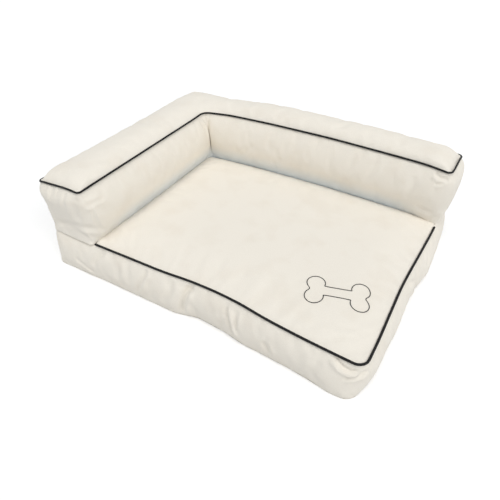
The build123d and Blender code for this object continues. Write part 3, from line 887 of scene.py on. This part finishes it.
CREAM_COLOURS = srgb(246, 240, 229), srgb(243, 236, 224)
CREAM = canvas("cream_canvas", *CREAM_COLOURS)
# The bolster's canvas: the cream canvas with painted shade at the foot of its inner sides
BOLSTER_CREAM_PAINTED_SHADE = canvas("bolster_canvas_painted_shade", *CREAM_COLOURS, foot=True)
LINING = canvas("deck_cloth", srgb(228, 222, 208), srgb(222, 214, 198), pitch=0.0016)
PIPING, TAPE, NYLON, METAL = piping_material(), tape_material(), nylon_material(), metal_material()
FOAM = foam_material("foam", srgb(236, 226, 190), srgb(226, 213, 172), 700.0)
COMFORT = foam_material("comfort_foam", srgb(238, 238, 236), srgb(226, 226, 226), 900.0)
SOLE = sole_material("sole_cloth", srgb(206, 198, 182), srgb(220, 213, 198), 0.0014)
GRIP = sole_material("grip_rubber", srgb(60, 60, 60), srgb(78, 78, 77), 0.002)
BLACK_THREAD = thread_material("black_thread", srgb(8, 8, 9), srgb(30, 30, 31))
CREAM_THREAD = thread_material("cream_thread", srgb(222, 215, 200), srgb(244, 239, 226))


# Covers


def wall_uv(loop, heights):
    return lambda i, j: (loop.along[i], heights[j])


def plan_uv(points):
    """Cloth coordinates of a panel, seen from above."""
    return lambda i, j: (points[i, j, 0], points[i, j, 1])


def finished(obj, material, replaces=()):
    """Gives a piece of the bed its material, puts it under the bed's empty, and hides the imported nodes that
    it replaces.
    """
    obj.data.materials.clear()
    obj.data.materials.append(material)
    obj.data.polygons.foreach_set("material_index", [0] * len(obj.data.polygons))
    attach(obj, "bed")
    if replaces:
        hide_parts(*replaces)
    return obj


def held(grid, sides=True, column=None):
    """1 for the points that a seam holds: first and last rows, and the sides or one column. 0 for others."""
    mask = np.zeros(grid.shape[:2])
    mask[:, 0] = mask[:, -1] = 1
    if sides:
        mask[0] = mask[-1] = 1
    if column is not None:
        mask[column] = 1
    return np.maximum(mask, np.where(zip_zone(grid) > 0.4, 1, 0)).ravel()


def marked(obj, loop, rows, groups):
    """Marks each face of a wall with the number of the band that its column belongs to."""
    index = []
    for column in range(len(loop.points)):
        index += [next(number for number, columns in enumerate(groups) if column in columns)] * rows
    for _ in groups:
        obj.data.materials.append(CREAM)
    obj.data.polygons.foreach_set("material_index", index)


def band(obj, name, number):
    """The faces of one band, as an object of their own."""
    piece = linked(name, obj.data.copy())
    with edited(piece) as work:
        others = [f for f in work.faces if f.material_index != number]
        bmesh.ops.delete(work, geom=others, context="FACES")
    return piece


def cut_window(obj, middle, height, length):
    """Opens a window for a zip in a rear band."""
    half = WINDOW_HEIGHT / 2
    sides = (((0, 0, 1), height - half), ((0, 0, 1), height + half),
             ((1, 0, 0), middle - length / 2), ((1, 0, 0), middle + length / 2))

    def faces_within(work, across, up):
        centres = [(face, face.calc_center_median()) for face in work.faces]
        return [face for face, centre in centres
                if abs(centre.x - middle) < length / 2 + across and abs(centre.z - height) < half + up]

    with edited(obj) as work:
        for normal, place in sides:
            faces = faces_within(work, *BESIDE_WINDOW)
            edges = {e for f in faces for e in f.edges}
            verts = {v for f in faces for v in f.verts}
            bmesh.ops.bisect_plane(work, geom=list(verts) + list(edges) + faces, dist=1e-6,
                                   plane_co=Vector(normal) * place, plane_no=normal)
        bmesh.ops.delete(work, geom=faces_within(work, 0, 0), context="FACES")


# Folds: lines pressed into the cloth, each with a soft ridge on one side. Millimetres on a face of the bed.
# Each is (line, depth, width, ridge). The ridge is on the line's right hand, or its left where negative.

SLIGHT = (1.8, 9.0, 1.2)
FRONT_FOLDS = (
    (((-117, 108), (-134, 69), (-152, 30), (-160, 8)), 5.5, 6.5, -4.0),
    (((18, 108), (0, 98), (-9, 66), (-16, 28), (-18, 4)), 9.0, 8.0, -5.0),
    (((106, 98), (115, 75), (125, 46), (136, 16)), 5.0, 5.5, -4.2),
    (((140, 102), (137, 86), (139, 48)), 3.6, 5.0, -2.6),
    (((-252, 112), (-280, 81), (-298, 44)), 4.5, 8.5, -2.5),
    (((-362, 51), (-329, 37), (-292, 20)), 3.0, 5.0, 2.4),
    (((-42, 108), (-51, 71), (-70, 26)), 3.0, 10.0, -1.8),
    (((212, 60), (224, 46), (234, 26)), 3.6, 7.0, -2.0),
    (((372, 108), (395, 93), (414, 89), (436, 94)), 8.0, 4.8, 4.6),
    (((404, 66), (431, 78), (446, 96)), 5.5, 4.2, 3.2),
    (((352, 88), (338, 46), (354, 14)), 2.4, 9.0, 1.4),
    (((-210, 96), (-206, 66), (-216, 36)), 2.0, 8.0, -1.4))
RIGHT_FOLDS = (
    (((-296, 100), (-306, 84), (-311, 60)), 2.4, 6.0, 1.4),
    (((-40, 98), (8, 76), (24, 40), (40, 8)), 4.5, 7.5, 2.6),
    (((120, 98), (110, 70), (84, 44)), 2.4, 8.0, 1.6))
ARM_END_FOLDS = (
    (((-298, 260), (-312, 226), (-320, 176)), 5.0, 11.0, 0.8),
    (((-336, 262), (-342, 236), (-350, 210)), 2.2, 4.0, 1.6),
    (((-362, 262), (-366, 238)), 2.0, 3.6, 1.5),
    (((-386, 262), (-388, 236), (-386, 214)), 2.2, 4.0, 1.6),
    (((-317, 260), (-326, 226)), 2.0, 3.8, 1.6),
    (((-420, 138), (-370, 156), (-310, 166), (-284, 170)), 2.6, 9.0, 2.0))
ARM_INNER_FOLDS = (
    (((187, 264), (187, 112)), 2.8, 1.7, 0),
    (((158, 260), (163, 232), (168, 196), (171, 146)), 2.8, 4.5, -2.6),
    (((-322, 252), (-300, 224), (-276, 188)), 2.0, 7.0, 1.4),
    (((-326, 230), (-297, 234), (-262, 228)), 1.6, 5.0, 1.2),
    (((-324, 254), (-299, 250), (-274, 244)), 1.2, 4.0, 0.9),
    (((-332, 168), (-300, 152), (-276, 134)), 2.2, 7.0, 1.6),
    (((30, 150), (70, 166), (120, 158)), 1.4, 12.0, 0.8))
BACK_INNER_FOLDS = (
    (((-278, 264), (-278, 112)), 2.8, 1.7, 0),
    (((-172, 146), (-150, 172), (-122, 206)), 2.6, 9.0, 2.2),
    (((-104, 144), (-88, 162), (-70, 174)), 1.6, 10.0, 1.2),
    (((-58, 146), (-44, 166), (-26, 184)), 1.8, 9.0, 1.2),
    (((118, 140), (140, 150), (170, 148)), 1.8, 9.0, 1.0),
    (((398, 260), (416, 252), (438, 254)), 5.0, 4.2, 3.4),
    (((408, 234), (426, 243), (441, 256)), 3.5, 4.0, 2.2),
    (((374, 158), (400, 150), (428, 146)), 2.6, 7.0, 2.0),
    (((353, 242), (356, 206), (348, 166)), 2.0, 9.0, 1.2))
REAR_FOLDS = (
    (((-340, 240), (-310, 226), (-280, 222)), *SLIGHT),
    (((360, 240), (344, 214), (340, 180)), *SLIGHT),
    (((-300, 92), (-320, 66), (-326, 40)), *SLIGHT),
    (((340, 96), (352, 70), (350, 36)), *SLIGHT))
LEFT_FOLDS = (
    (((-220, 252), (-206, 216), (-210, 170)), *SLIGHT),
    (((60, 250), (84, 214), (80, 170)), *SLIGHT),
    (((-120, 98), (-100, 70), (-104, 30)), *SLIGHT),
    (((190, 98), (170, 66), (176, 30)), *SLIGHT))
SEAT_FOLDS = (
    (((318, -262), (352, -268), (404, -240)), 0.9, 7.0, 0.7),
    (((330, -292), (372, -284), (412, -262)), 0.8, 6.0, 0.6),
    (((214, -226), (226, -196), (232, -170)), 0.6, 9.0, 0.5),
    (((-262, -250), (-236, -222), (-226, -190)), 0.8, 10.0, 0.6),
    (((-100, 160), (-60, 130), (-40, 90)), 0.6, 12.0, 0.5))

# The faces of the bed: the two axes of each, and the direction that it faces
FRONT, REAR = ((X, Z), (0, -1, 0)), ((X, Z), (0, 1, 0))
RIGHT, LEFT = ((Y, Z), (1, 0, 0)), ((Y, Z), (-1, 0, 0))
UP = ((X, Y), (0, 0, 1))
# A fold shows where the cloth faces its side more than this, and fully beyond a margin
FACING_FROM, FACING_OVER = 0.15, 0.35
# How quickly a fold deepens at its start and fades at its end
TAPER_IN, TAPER_OUT = 6, 4
# In widths of the fold, how far from it its ridge stands, and how wide that is
RIDGE_PLACE, RIDGE_WIDTH = 1.9, 1.1
# Gathers beside the seams: how far they reach, and their pitch
GATHER_REACH, GATHER_PITCH = 0.012, 0.010


def beside(flat, line):
    """How far points are from a line of runs, on which side of it, and how far along it from 0 to 1."""
    line = np.array(line, float) / 1000
    lengths = np.linalg.norm(np.diff(line, axis=0), axis=1)
    best, side, along = np.full(len(flat), np.inf), np.zeros(len(flat)), np.zeros(len(flat))
    gone = 0.0
    for start, end, length in zip(line[:-1], line[1:], lengths):
        run = (end - start) / length
        offset = flat - start
        share = np.clip(offset @ run, 0, length)
        distance = np.linalg.norm(offset - share[:, None] * run, axis=1)
        closer = distance < best
        best = np.where(closer, distance, best)
        side = np.where(closer, np.sign(run[1] * offset[:, 0] - run[0] * offset[:, 1]), side)
        along = np.where(closer, (gone + share) / lengths.sum(), along)
        gone += length
    return best, side, along


def folded(points, normals, folds, face):
    """How far the folds of one face move its points along their normals."""
    axes, facing = face
    move = np.zeros(len(points))
    flat = points[:, list(axes)]
    seen = smooth_step((normals @ np.array(facing, float) - FACING_FROM) / FACING_OVER)
    for line, depth, width, ridge in folds:
        distance, side, along = beside(flat, line)
        width /= 1000
        taper = smooth_step(along * TAPER_IN) * smooth_step((1 - along) * TAPER_OUT)
        groove = depth * np.exp(-(distance / width) ** 2)
        bank = abs(ridge) * np.exp(-((distance - RIDGE_PLACE * width) / (RIDGE_WIDTH * width)) ** 2)
        bank *= smooth_step(0.5 + 0.5 * side * np.sign(ridge))
        move += (bank - groove) / 1000 * taper * seen
    return move


def puckered(points, seams, depth):
    """How far small gathers beside seams move points along their normals."""
    line = np.vstack(seams)
    tree = KDTree(len(line))
    for index, point in enumerate(line):
        tree.insert(point, index)
    tree.balance()
    distance = np.array([tree.find(p)[2] for p in points])
    ripple = np.array([noise.noise(Vector(p) / GATHER_PITCH) for p in points])
    return depth * ripple * np.exp(-distance / GATHER_REACH)


def pressed(obj, seams, depth, *faces):
    """Presses the gathers beside its seams, and the folds of its faces, into a cover."""
    points, normals = read(obj), read(obj, "normal")
    move = puckered(points, seams, depth)
    for folds, face in faces:
        move += folded(points, normals, folds, face)
    free = 1 - zip_zone(points)
    set_points(obj, points + normals * (move * free)[:, None])


base_cover = grid_object("base_wall", base_wall, wall_uv(BASE, base_cloth), closed=True)
seat_cover = grid_object("seat_cover", seat, plan_uv(seat))
bolster_cover = grid_object("bolster_wall", bolster_wall, wall_uv(BOLSTER, bolster_cloth), closed=True)
top_cover = grid_object("bolster_top_cover", bolster_top, plan_uv(bolster_top), flip=True)

base_rear = set(BASE.walk("rear", "rear_left", 0, -1))
base_rest = set(range(len(BASE.points))) - base_rear
bolster_rear = set(BOLSTER.walk("rear", "rear_left", 0, -1))
arm_columns = set(BOLSTER.walk("rear_left", "inner", 0, HALF_CORNER - 1))
back_columns = set(range(len(BOLSTER.points))) - bolster_rear - arm_columns
marked(base_cover, BASE, BASE_ROWS, (base_rest, base_rear))
marked(bolster_cover, BOLSTER, BOLSTER_ROWS, (arm_columns, back_columns, bolster_rear))

inner_seam = BOLSTER.spans["inner"][0] + HALF_CORNER
simulated(base_cover, held(base_wall, sides=False), pressure=4, grow=0.012, most=0.010)
simulated(seat_cover, held(seat), pressure=1.2, grow=0.006, most=0.006)
simulated(bolster_cover, held(bolster_wall, sides=False, column=inner_seam),
          pressure=4, grow=0.007, most=0.010)
simulated(top_cover, held(bolster_top), pressure=3, grow=0.008, most=0.006)
for cover in (base_cover, seat_cover, bolster_cover, top_cover):
    subdivided(cover)

seat_seam = base_wall[BASE.walk("front_open", "side_under"), -1]
pressed(base_cover, [base_wall[:, 0], base_wall[:, -1]], 0.0011,
        (FRONT_FOLDS, FRONT), (RIGHT_FOLDS, RIGHT), (REAR_FOLDS, REAR), (LEFT_FOLDS, LEFT))
pressed(seat_cover, [seat_seam], 0.0008, (SEAT_FOLDS, UP))
pressed(bolster_cover, [bolster_wall[:, 0], bolster_wall[:, -1]], 0.0011,
        (ARM_END_FOLDS, FRONT), (ARM_INNER_FOLDS, RIGHT), (BACK_INNER_FOLDS, FRONT),
        (REAR_FOLDS, REAR), (LEFT_FOLDS, LEFT))
pressed(top_cover, [bolster_wall[:, -1]], 0.0008)
for wall in (base_cover, bolster_cover):
    set_points(wall, flat_at_zips(read(wall)))

# Each band: its wall, its number there, its material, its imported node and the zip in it
BANDS = {
    "base_side_band": (base_cover, 0, CREAM, "side_band", None),
    "base_rear_band": (base_cover, 1, CREAM, "rear_band", "base"),
    "bolster_arm_band": (bolster_cover, 0, BOLSTER_CREAM_PAINTED_SHADE, "arm_band", None),
    "bolster_back_band": (bolster_cover, 1, BOLSTER_CREAM_PAINTED_SHADE, "back_band", None),
    "bolster_rear_cover": (bolster_cover, 2, BOLSTER_CREAM_PAINTED_SHADE, "bolster_rear_band", "bolster")}
for name, (wall, number, material, node, zip_name) in BANDS.items():
    piece = band(wall, name, number)
    if zip_name:
        cut_window(piece, *ZIPS[zip_name][:3])
    finished(thickened(piece), material, (node,))
for wall in (base_cover, bolster_cover):
    bpy.data.objects.remove(wall)
finished(thickened(seat_cover), CREAM, ("seat_panel",))
finished(thickened(top_cover), CREAM, ("bolster_top_panel",))


# Piping

def tube(name, path, radius, closed, sides=12, flat=1.0):
    """A round cord along a path, with cloth coordinates round and along it."""
    path = np.asarray(path, float)
    ahead, behind = np.roll(path, -1, 0), np.roll(path, 1, 0)
    if not closed:
        ahead[-1], behind[0] = path[-1], path[0]
    tangent = ahead - behind
    tangent /= np.linalg.norm(tangent, axis=1)[:, None]
    side = np.cross(tangent, np.array([0.0, 0.0, 1.0]))
    side /= np.linalg.norm(side, axis=1)[:, None]
    lift = np.cross(side, tangent)
    angle = np.linspace(0, 2 * np.pi, sides + 1)
    across = np.cos(angle)[None, :, None] * side[:, None]
    ring = path[:, None] + radius * (across + flat * np.sin(angle)[None, :, None] * lift[:, None])
    steps = np.linalg.norm(np.diff(np.vstack([path, path[:1]]), axis=0), axis=1)
    along = np.concatenate([[0], np.cumsum(steps)])
    obj = grid_object(name, ring, lambda i, j: (along[i], radius * angle[j]), closed=closed)
    weld(obj)
    if not closed:
        cap(obj)
    return obj


def seam_path(loop, grid, columns, out, rise):
    """Points just outside a seam, one for each column."""
    points = grid[columns, -1].copy()
    points[:, :2] += loop.normals[columns] * out
    points[:, 2] += rise
    return points


def refined(path, closed, times=1):
    """Rounds a path by cutting its corners."""
    for _ in range(times):
        ahead = np.roll(path, -1, 0)
        first, second = path * 0.75 + ahead * 0.25, path * 0.25 + ahead * 0.75
        cut = np.stack([first, second], axis=1).reshape(-1, path.shape[1])
        path = cut if closed else np.vstack([path[:1], cut[:-2], path[-1:]])
    return path


# How far outside its seam each cord lies, and how far above it
SEAT_CORD_OUT, SEAT_CORD_RISE, BOLSTER_CORD_OUT = 0.0026, 0.0010, 0.0020
BOLSTER_CORD_RISE = spread(BOLSTER, {
    "rest": 0.0025, "arm_inner": 0.0035, "front_end": 0.0035, "left": -0.0015, "rear": -0.0015,
    "rear_left": -0.0025, "front_left": -0.001, "rear_right": -0.001}, CORD_EASING)

seat_columns = BASE.walk("front_open", "side_under")
seat_path = seam_path(BASE, base_wall, seat_columns, SEAT_CORD_OUT, SEAT_CORD_RISE)
seat_cord = tube("seat_piping_cord", refined(seat_path, False), SEAT_CORD_RADIUS, False)
finished(seat_cord, PIPING, ("seat_piping",))
all_columns = list(range(len(BOLSTER.points)))
bolster_path = seam_path(BOLSTER, bolster_wall, all_columns, BOLSTER_CORD_OUT, BOLSTER_CORD_RISE)
bolster_cord = tube("bolster_piping_cord", refined(bolster_path, True), BOLSTER_CORD_RADIUS, True)
finished(bolster_cord, PIPING, ("bolster_piping",))


# Foam blocks

ROUND_STEPS, EDGE_STEPS = 7, 18


def inset_outline(corners, insets, radii):
    """An outline of four edges, each set in by its own amount, with rounded corners."""
    corners = np.array(corners, float)
    count = len(corners)
    lines, sharp, points = [], [], []
    for k in range(count):
        start, end = corners[k], corners[(k + 1) % count]
        run = (end - start) / np.linalg.norm(end - start)
        lines.append((start + insets[k] * np.array([-run[1], run[0]]), run))
    for k in range(count):
        (p, r), (q, t) = lines[k - 1], lines[k]
        sharp.append(p + r * np.linalg.solve(np.array([r, -t]).T, q - p)[0])
    for k in range(count):
        corner, before, after = sharp[k], lines[k - 1][1], lines[k][1]
        enter, leave = corner - before * radii[k], corner + after * radii[k]
        for t in np.linspace(0, 1, ROUND_STEPS):
            points.append((1 - t) ** 2 * enter + 2 * t * (1 - t) * corner + t ** 2 * leave)
        far = sharp[(k + 1) % count] - after * radii[(k + 1) % count]
        for t in np.linspace(0, 1, EDGE_STEPS)[1:-1]:
            points.append(leave + (far - leave) * t)
    return np.array(points)


# Shares of a block's outline, for the rings that close its top and bottom
CAP_SHARES = (0.985, 0.95, 0.88, 0.76, 0.6, 0.42, 0.22, 0)
# An edge set in by less than this is a mitre, where two blocks meet
MITRE = 0.001
# How high the blocks' tops rise: the bars', and the seat's under its crown and over its own middle
BAR_CROWN, SEAT_FOAM_RISE, SEAT_FOAM_ARCH = 0.022, 0.012, 0.003
# How square the arches of the bars and of the seat's foam are, and the foam's cloth coordinate for a step
BAR_POWER, SEAT_FOAM_POWER, FOAM_STEP = 3.2, 6, 0.01


def foam_block(name, node, corners, insets, radii, levels, rise, moved, material=FOAM):
    """A block of foam. insets says how far each side is set in, and levels adds to that at each height.
    rise lifts the top inside its outline, and moved takes the block to its place in the cover."""
    rings = []
    for extra, z in levels:
        outline = inset_outline(corners, [inset + (extra if inset > MITRE else 0) for inset in insets], radii)
        rings.append(np.column_stack([outline, np.full(len(outline), z)]))
    centre = np.append(rings[0][:, :2].mean(0), 0)
    lower, upper = [], []
    for share in CAP_SHARES:
        below, above = ((ring - centre) * (share, share, 1) + centre for ring in (rings[0], rings[-1]))
        above[:, 2] += rise(above, share)
        lower.append(below)
        upper.append(above)
    grid = moved(np.stack(lower[::-1] + rings + upper, axis=1))
    obj = grid_object(name, grid, lambda i, j: (i * FOAM_STEP, j * FOAM_STEP), closed=True)
    weld(obj)
    finished(obj, material, (node,))


# How far in the foam's crown begins from the fullest outline, and from the creases
FOAM_EDGE, FOAM_GAP = 0.026, 0.006


def flat_top(points, share):
    return 0


def arched_top(points, share):
    return BAR_CROWN * (1 - share ** BAR_POWER)


def seat_top(points, share):
    """The foam's rise under the seat's crown."""
    x, y = points[:, 0], points[:, 1]
    along = roll(y - (FOAM_EDGE - HALF_DEPTH), OPEN_REACH) * roll(BACK_FOOT_Y - FOAM_GAP - y, CREASE_REACH)
    rise = along * roll(HALF_WIDTH - FOAM_EDGE - x, OPEN_REACH)
    rise *= roll(x - ARM_FOOT_X - FOAM_GAP, CREASE_REACH)
    return SEAT_FOAM_RISE * rise + SEAT_FOAM_ARCH * (1 - share ** SEAT_FOAM_POWER)


LEFT_FRONT, RIGHT_FRONT = (-HALF_WIDTH, -HALF_DEPTH), (HALF_WIDTH, -HALF_DEPTH)
RIGHT_REAR, LEFT_REAR = (HALF_WIDTH, HALF_DEPTH), (-HALF_WIDTH, HALF_DEPTH)
INNER, ARM_END, BACK_END = (ARM_FACE_X, BACK_FACE_Y), (ARM_FACE_X, -HALF_DEPTH), (HALF_WIDTH, BACK_FACE_Y)
BED_CORNERS = (LEFT_FRONT, RIGHT_FRONT, RIGHT_REAR, LEFT_REAR)
BED_FOAM_RADII = (0.052,) * 4
BASE_FOAM_LEVELS = ((0.008, 0.0035), (0.001, 0.016), (0, 0.045), (0.001, 0.0765))
COMFORT_LEVELS = ((0, 0.0775), (0.004, 0.090), (0.013, 0.102))
BAR_LEVELS = ((0.014, 0.1125), (0.008, 0.130), (0.002, 0.165), (0.001, 0.205), (0.006, 0.238), (0.016, 0.256))

foam_block("base_foam_block", "base_foam", BED_CORNERS, (0.013,) * 4, BED_FOAM_RADII,
           BASE_FOAM_LEVELS, flat_top, base_set)
foam_block("comfort_foam_block", "comfort_foam", BED_CORNERS, (0.018,) * 4, BED_FOAM_RADII,
           COMFORT_LEVELS, seat_top, base_set, COMFORT)
foam_block("arm_foam_block", "arm_foam", (LEFT_FRONT, ARM_END, INNER, LEFT_REAR),
           (0.026, 0.014, 0.0004, 0.018), (0.034, 0.034, 0.03, 0.07), BAR_LEVELS, arched_top, back_set)
foam_block("back_foam_block", "back_foam", (INNER, BACK_END, RIGHT_REAR, LEFT_REAR),
           (0.014, 0.018, 0.008, 0.0004), (0.03, 0.034, 0.034, 0.07), BAR_LEVELS, arched_top, back_set)


# The cloth under the bed, with its grip dots, and the lining under the bolster

LINING_THICKNESS = 0.001
DOT_PITCH, DOT_RADIUS, DOT_SIDES, DOT_ROW_PITCH = 0.022, 0.0035, 8, 0.97
DOT_RINGS = ((0.4, 0.00005), (0.8, 0.0002), (1, 0.0007))
DOT_HALF_WIDTH, DOT_HALF_DEPTH = 0.43, 0.318


def bottom_grid():
    ring = base_wall[:, 0]
    corners = ("front_left", "front_right", "rear_right", "rear_left", "front_left")
    front, right, rear, left = (ring[BASE.between_corners(*pair)] for pair in zip(corners, corners[1:]))
    return patch(front, rear[::-1], left[::-1], right)


def grip_dots():
    """Rubber dots under the bottom cloth, which keep the bed from sliding."""
    dots = []
    rows, columns = int(2 * DOT_HALF_DEPTH / DOT_PITCH), int(2 * DOT_HALF_WIDTH / DOT_PITCH)
    turns = [2 * math.pi * turn / DOT_SIDES for turn in range(DOT_SIDES)]
    for row in range(rows + 1):
        for column in range(columns + row % 2 - 1):
            x = (column - (columns + row % 2 - 2) / 2) * DOT_PITCH
            y = (row - rows / 2) * DOT_PITCH * DOT_ROW_PITCH
            rings = []
            for share, z in DOT_RINGS:
                r = DOT_RADIUS * share
                rings.append([(x + r * math.cos(turn), y + r * math.sin(turn), z) for turn in turns])
            dots.append(rings)
    return solids_object("base_grip_dots", dots)


bottom = bottom_grid()[::2, ::2]
bottom[..., 2] = BOTTOM_Z
bottom_cloth = thickened(grid_object("base_bottom_cloth", bottom, plan_uv(bottom)), LINING_THICKNESS)
finished(bottom_cloth, SOLE, ("bottom_panel",))
dots = finished(grip_dots(), GRIP)

lining = bolster_strip(0)[::2]
lining[..., 2] = BOLSTER_FOOT_Z + LINING_THICKNESS
lining_cloth = grid_object("bolster_deck_lining", lining, plan_uv(lining), flip=True)
finished(thickened(lining_cloth, LINING_THICKNESS), LINING, ("deck_lining",))


# Zips: woven tapes behind the windows, and stitching round them

STITCH_PITCH, STITCH_LENGTH, STITCH_RADIUS, STITCH_SIDES = 0.0042, 0.0031, 0.00042, 6
# Along a stitch, the places and sizes of its rings
STITCH_RINGS = ((-0.5, 0.25), (-0.36, 0.8), (0, 1), (0.36, 0.8), (0.5, 0.25))
# How far the stitches lie outside the window, and outside the band, and how flat they are
STITCH_MARGIN, STITCH_OUT, STITCH_FLAT = 0.003, 0.0001, 0.8
TAPE_COLUMNS, TAPE_ROWS = 100, 5


def tape_strip(name, node):
    """A thin flat strip of tape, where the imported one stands."""
    low, high = ([round(value, 4) for value in corner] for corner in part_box(node))
    x, z = np.linspace(low[X], high[X], TAPE_COLUMNS), np.linspace(low[Z], high[Z], TAPE_ROWS)
    grid = np.zeros((len(x), len(z), 3))
    grid[..., X], grid[..., Y], grid[..., Z] = x[:, None], high[Y], z[None, :]
    return thickened(grid_object(name, grid, lambda i, j: (x[i], z[j]), flip=True), high[Y] - low[Y])


def stitches(name, corners):
    """Short raised stitches along the lines between corners on the rear bands."""
    solids, out = [], np.array((0, 1, 0))
    turns = [2 * math.pi * turn / STITCH_SIDES for turn in range(STITCH_SIDES)]
    for k, start in enumerate(corners):
        run = corners[(k + 1) % len(corners)] - start
        total = np.linalg.norm(run)
        run /= total
        side = np.cross(run, out)
        for number in range(int(total / STITCH_PITCH)):
            middle = start + run * STITCH_PITCH * (number + 0.5)
            rings = []
            for share, size in STITCH_RINGS:
                centre = middle + run * STITCH_LENGTH * share
                rings.append([centre + (side * math.cos(turn) + out * math.sin(turn) * STITCH_FLAT)
                              * STITCH_RADIUS * size for turn in turns])
            solids.append(rings)
    return solids_object(name, solids)


for zip_name, (middle, height, length, tape) in ZIPS.items():
    cover = "base_rear_band" if zip_name == "base" else "bolster_rear_cover"
    for side in ("upper", "lower"):
        node = "%s_zip_%s_tape" % (zip_name, side)
        strip = tape_strip(zip_name + "_woven_tape_" + side, node)
        finished(strip, TAPE, (node,))
    x, z = length / 2 + STITCH_MARGIN, WINDOW_HEIGHT / 2 + STITCH_MARGIN
    corners = [np.array((middle + a * x, HALF_DEPTH + STITCH_OUT, height + b * z))
               for a, b in ((-1, -1), (1, -1), (1, 1), (-1, 1))]
    finished(stitches(zip_name + "_zip_stitching", corners), CREAM_THREAD)


# A generic motif on the seat: the outline of a bone, embroidered in black

# Half the shaft's width, where it ends, its flare and where that is full
SHAFT, SHAFT_END, SHAFT_FLARE, FLARE_FULL = 0.0125, 0.026, 0.0006, 0.028
# The lobe's middle, its radius and its arc in degrees, and the notch between two lobes
LOBE, LOBE_RADIUS, LOBE_ARC, NOTCH = np.array([0.047, 0.0185]), 0.0195, (196, -44), 0.0575
SHAFT_STEPS, LOBE_STEPS = 8, 26
MOTIF_PLACE, MOTIF_TURN, MOTIF_SCALE = (0.318, -0.182), math.radians(17), 1.08
# The thread's radius, how high its middle lies over the cloth, and a height above the whole seat
MOTIF_THREAD, THREAD_RISE, ABOVE_SEAT = 0.0011, 0.0003, 0.3


def bone_outline():
    """The upper right quarter of a bone, mirrored to the whole outline."""
    along = np.linspace(0, SHAFT_END, SHAFT_STEPS)
    quarter = [(x, SHAFT + SHAFT_FLARE * (x / FLARE_FULL) ** 4) for x in along]
    for angle in np.radians(np.linspace(*LOBE_ARC, LOBE_STEPS)):
        quarter.append(LOBE + LOBE_RADIUS * np.array([math.cos(angle), math.sin(angle)]))
    quarter = np.array(quarter + [(NOTCH, 0.0)])
    right = np.vstack([quarter, quarter[:-1][::-1] * (1, -1)])
    left = right[::-1] * (-1, 1)
    return np.vstack([right, left[1:-1]])


def embroidered_motif():
    tree = surface_tree(seat_cover)
    cos, sin = math.cos(MOTIF_TURN), math.sin(MOTIF_TURN)
    turned = refined(bone_outline(), True, 2) * MOTIF_SCALE @ np.array([[cos, sin], [-sin, cos]])
    path = []
    for u, v in turned + MOTIF_PLACE:
        hit = tree.ray_cast(Vector((u, v, ABOVE_SEAT)), Vector((0, 0, -1)))[0]
        path.append((u, v, hit.z + THREAD_RISE))
    return tube("seat_motif_thread", path, MOTIF_THREAD, True, sides=8, flat=0.7)


finished(embroidered_motif(), BLACK_THREAD)


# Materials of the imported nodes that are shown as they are

for node_name, node_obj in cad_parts.items():
    finish = None
    if node_name.endswith("_teeth"):
        finish = NYLON
    elif node_name.endswith(("_slider", "_pull", "_stops", "_stop")):
        finish = METAL
    if finish:
        for slot in node_obj.material_slots:
            slot.material = finish
